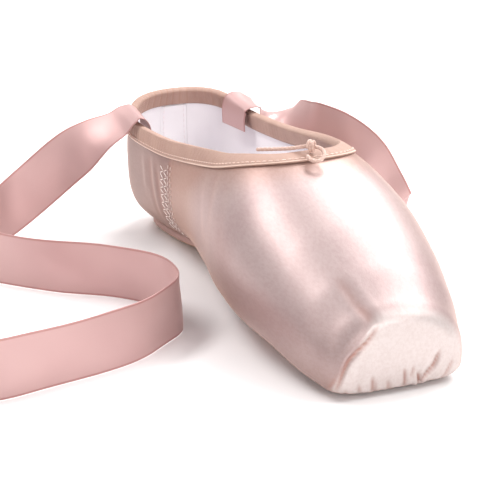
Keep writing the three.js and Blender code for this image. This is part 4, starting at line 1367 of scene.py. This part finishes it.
def sole_grid(form, plan, top_at, bottom_at, stations=90, columns=34):
    """A slab between two height functions over a rounded plan, and how near its points are to
    its edge."""
    length = form.s["length"]
    share = 0.5 - 0.5 * np.cos(np.pi * (np.arange(stations) + 0.35) / (stations - 0.3))
    x = plan.heel_inset + (length - plan.toe_inset - plan.heel_inset) * share
    across = np.sin(np.linspace(-0.5, 0.5, columns) * np.pi)
    near = np.abs(across)
    grid_x = np.repeat(x[:, None], columns, 1)
    grid_y = sole_half(plan, length, x)[:, None] * across
    top, bottom = (np.stack([grid_x, grid_y, height(grid_x, grid_y, near)], -1)
                   for height in (top_at, bottom_at))
    return np.concatenate([top, bottom[:, ::-1]], axis=1), np.r_[near, near[::-1]]


def slab(name, rings, material, values=None):
    """A closed slab from rings in millimetres."""
    faces = closed_band(*rings.shape[:2])
    return piece(name, metres(rings.reshape(-1, 3)), faces, [material], values=values)


HEEL_TAPE_HALF = 7.0
HEEL_TAPE_LOW, HEEL_TAPE_HIGH = 12.0, 50.5
HEEL_TAPE_GAP, HEEL_TAPE_OUT = 0.02, 0.12  # of its back and its thin edges, off the lining
HEEL_TAPE_ROWS = (2, 14)  # which of its 17 lines are sewn


class MakeSoles(bpy.types.Operator):
    """Make the leather outsole, the sock over its insole board and the heel tape"""

    bl_idname = "pointe_shoe.soles"
    bl_label = "Soles"

    def execute(self, context):
        form = Last(last_sizes())
        s = form.s

        def seam(x, y, near=0):
            """The top of the outsole, under the satin."""
            z = form.under(x, y)
            return z - s["bedding"] / np.abs(form.outward(np.stack([x, y, z], -1))[..., 2])

        def tread(x, y, near):
            """The underside of the outsole, eased at its edge."""
            high = seam(x, y)
            low = np.maximum(np.maximum(0, form.lift(x)), high - s["outsole_thickness"] - 1.2)
            return np.minimum(low + 0.8 * smooth(0.955, 1, near), high - 0.8)

        def seat(x, y, near=0):
            """The underside of the insole board, on the lining."""
            p = np.stack([x, y, form.under(x, y)], -1)
            return p[..., 2] + (form.wall(p) + s["bedding"]) / np.abs(form.outward(p)[..., 2])

        def top(x, y, near):
            """The top of the sock, eased at its edge."""
            return seat(x, y) + s["insole_thickness"] - 0.7 * smooth(0.9, 1, near)

        rings, near = sole_grid(form, OUTSOLE, seam, tread)
        burnish = np.tile(smooth(0.965, 0.998, near), len(rings))
        outsole = slab("leather_outsole", rings, leather_finish(), values={"crease": burnish})
        fasten(outsole, "outsole")
        rings, _ = sole_grid(form, INSOLE, top, seat)
        fasten(slab("insole_sock", rings, sock_finish()), "insole")

        # the tape over the heel seam inside, from the binding down to the sock
        y, z = np.meshgrid(np.linspace(-HEEL_TAPE_HALF, HEEL_TAPE_HALF, 17),
                           np.linspace(HEEL_TAPE_LOW, HEEL_TAPE_HIGH, 40), indexing="ij")
        aim = np.stack([0 * y - 1, y / HEEL_CENTRE, 0 * y], -1)
        skin = form.skin(np.stack([0 * y + HEEL_CENTRE, 0 * y, z], -1), unit(aim))
        n = form.outward(skin)
        wall = form.wall(skin)
        full = 1 - smooth(0.8 * HEEL_TAPE_HALF, HEEL_TAPE_HALF, np.abs(y))
        face = skin - n * (wall + HEEL_TAPE_OUT + 0.5 * full)[..., None]
        back = skin - n * (wall + HEEL_TAPE_GAP)[..., None]
        tape = slab("heel_tape", np.concatenate([face, back[:, ::-1]], axis=1), lining_finish())
        fasten(tape)
        rows = [(metres(face[k] - 0.08 * n[k]), -n[k]) for k in HEEL_TAPE_ROWS]
        stitches = sewn("heel_tape_stitches", rows,
                        thread_finish("white_thread", colour("#E9E2EA")), 2.6, 2, 0.35)
        fasten(stitches)
        return {"FINISHED"}


Softbox = namedtuple("Softbox", "name place aim width height power tint")
SOFTBOXES = [
    Softbox("far_overhead", (-0.42, 0.66, 0.95), (0.04, 0, 0.04), 1.0, 0.52, 15.5, "#FFFFFF"),
    Softbox("far_front", (0.45, 0.6, 0.85), (0.1, 0, 0.03), 0.5, 0.55, 4.2, "#FFFEFD"),
    Softbox("near_overhead", (-0.4, -0.5, 1.0), (0.04, 0, 0.04), 0.8, 0.32, 7.6, "#FFFBFA"),
    Softbox("front", (1.1, 0.15, 0.42), (0.1, 0, 0.02), 0.6, 0.45, 4.8, "#FFFAF8"),
    Softbox("near_side", (0.25, -1.1, 0.6), (0, 0, 0.03), 0.5, 0.4, 1.2, "#FFF4F0"),
]


SWEEP_FRONT, SWEEP_BACK, SWEEP_HALF, SWEEP_TOP = 1.6, -1.2, 2.2, 2.4
SWEEP_BEND = 0.6
ROOM_LIGHT = 0.52


class MakeStage(bpy.types.Operator):
    """Lay the plain floor and set the studio lights"""

    bl_idname = "pointe_shoe.stage"
    bl_label = "Stage"

    def execute(self, context):
        profile = [(SWEEP_FRONT, 0.0), (SWEEP_BACK, 0.0)]
        profile += [(SWEEP_BACK - SWEEP_BEND * np.sin(a), SWEEP_BEND * (1 - np.cos(a)))
                    for a in np.linspace(0, np.pi / 2, 14)[1:]]
        profile += [(SWEEP_BACK - SWEEP_BEND, SWEEP_TOP)]
        points = np.array([(x, y, z) for x, z in profile for y in (-SWEEP_HALF, SWEEP_HALF)])
        material, tree = new_finish("matt_paper_sweep")
        paper = add(tree, RAMP, {"Fac": grains(tree, 166.7)},
                    [(0.3, colour("#FBFAF9")), (0.7, colour("#FDFCFC"))])
        shaded(tree, {"Base Color": paper, "Roughness": 0.9, "Specular IOR Level": 0.2})
        piece("paper_sweep", points, grid_faces(len(profile), 2), [material])
        for box in SOFTBOXES:
            data = bpy.data.lights.new(box.name, "AREA")
            data.shape = "RECTANGLE"
            data.size, data.size_y = box.width, box.height
            data.energy = box.power
            data.color = colour(box.tint)[:3]
            light = bpy.data.objects.new(box.name, data)
            back = unit(np.array(box.place) - np.array(box.aim))
            side = unit(np.cross([0, 0, 1.0], back))
            light.matrix_world = placed(side, np.cross(back, side), back, box.place)
            context.scene.collection.objects.link(light)
        world = bpy.data.worlds.new("pale_room")
        world.use_nodes = True
        sky = world.node_tree.nodes["Background"]
        sky.inputs["Color"].default_value = colour("#F4F3F6")
        sky.inputs["Strength"].default_value = ROOM_LIGHT
        context.scene.world = world
        context.scene.view_settings.view_transform = "Standard"
        return {"FINISHED"}


OPERATORS = (MakeCamera, MakeRibbons, MakeDrawstring, MakeUpper, MakeBinding, MakeSeams,
             MakeSoles, MakeStage)


class ShoePanel(bpy.types.Panel):
    """Sizes, colours and steps of the pointe shoe"""

    bl_idname = "VIEW3D_PT_pointe_shoe"
    bl_label = "Pointe shoe"
    bl_space_type = "VIEW_3D"
    bl_region_type = "UI"
    bl_category = "Pointe shoe"

    def draw(self, context):
        column = self.layout.column()
        groups = (context.scene.shoe_last, context.scene.shoe_trim, context.scene.shoe_colours)
        for group in groups:
            for name in type(group).__annotations__:
                column.prop(group, name)
        for step in OPERATORS:
            column.operator(step.bl_idname)


CLASSES = (LastSizes, TrimSizes, Colours, *OPERATORS, ShoePanel)


def register():
    for kind in CLASSES:
        bpy.utils.register_class(kind)
    bpy.types.Scene.shoe_last = bpy.props.PointerProperty(type=LastSizes)
    bpy.types.Scene.shoe_trim = bpy.props.PointerProperty(type=TrimSizes)
    bpy.types.Scene.shoe_colours = bpy.props.PointerProperty(type=Colours)


def unregister():
    del bpy.types.Scene.shoe_last
    del bpy.types.Scene.shoe_trim
    del bpy.types.Scene.shoe_colours
    for kind in reversed(CLASSES):
        bpy.utils.unregister_class(kind)


def main():
    """Makes every piece in order."""
    register()
    bpy.ops.pointe_shoe.camera()
    bpy.ops.pointe_shoe.ribbons()
    bpy.ops.pointe_shoe.drawstring()
    bpy.ops.pointe_shoe.upper()
    bpy.ops.pointe_shoe.binding()
    bpy.ops.pointe_shoe.seams()
    bpy.ops.pointe_shoe.soles()
    bpy.ops.pointe_shoe.stage()


if __name__ == "__main__":
    main()
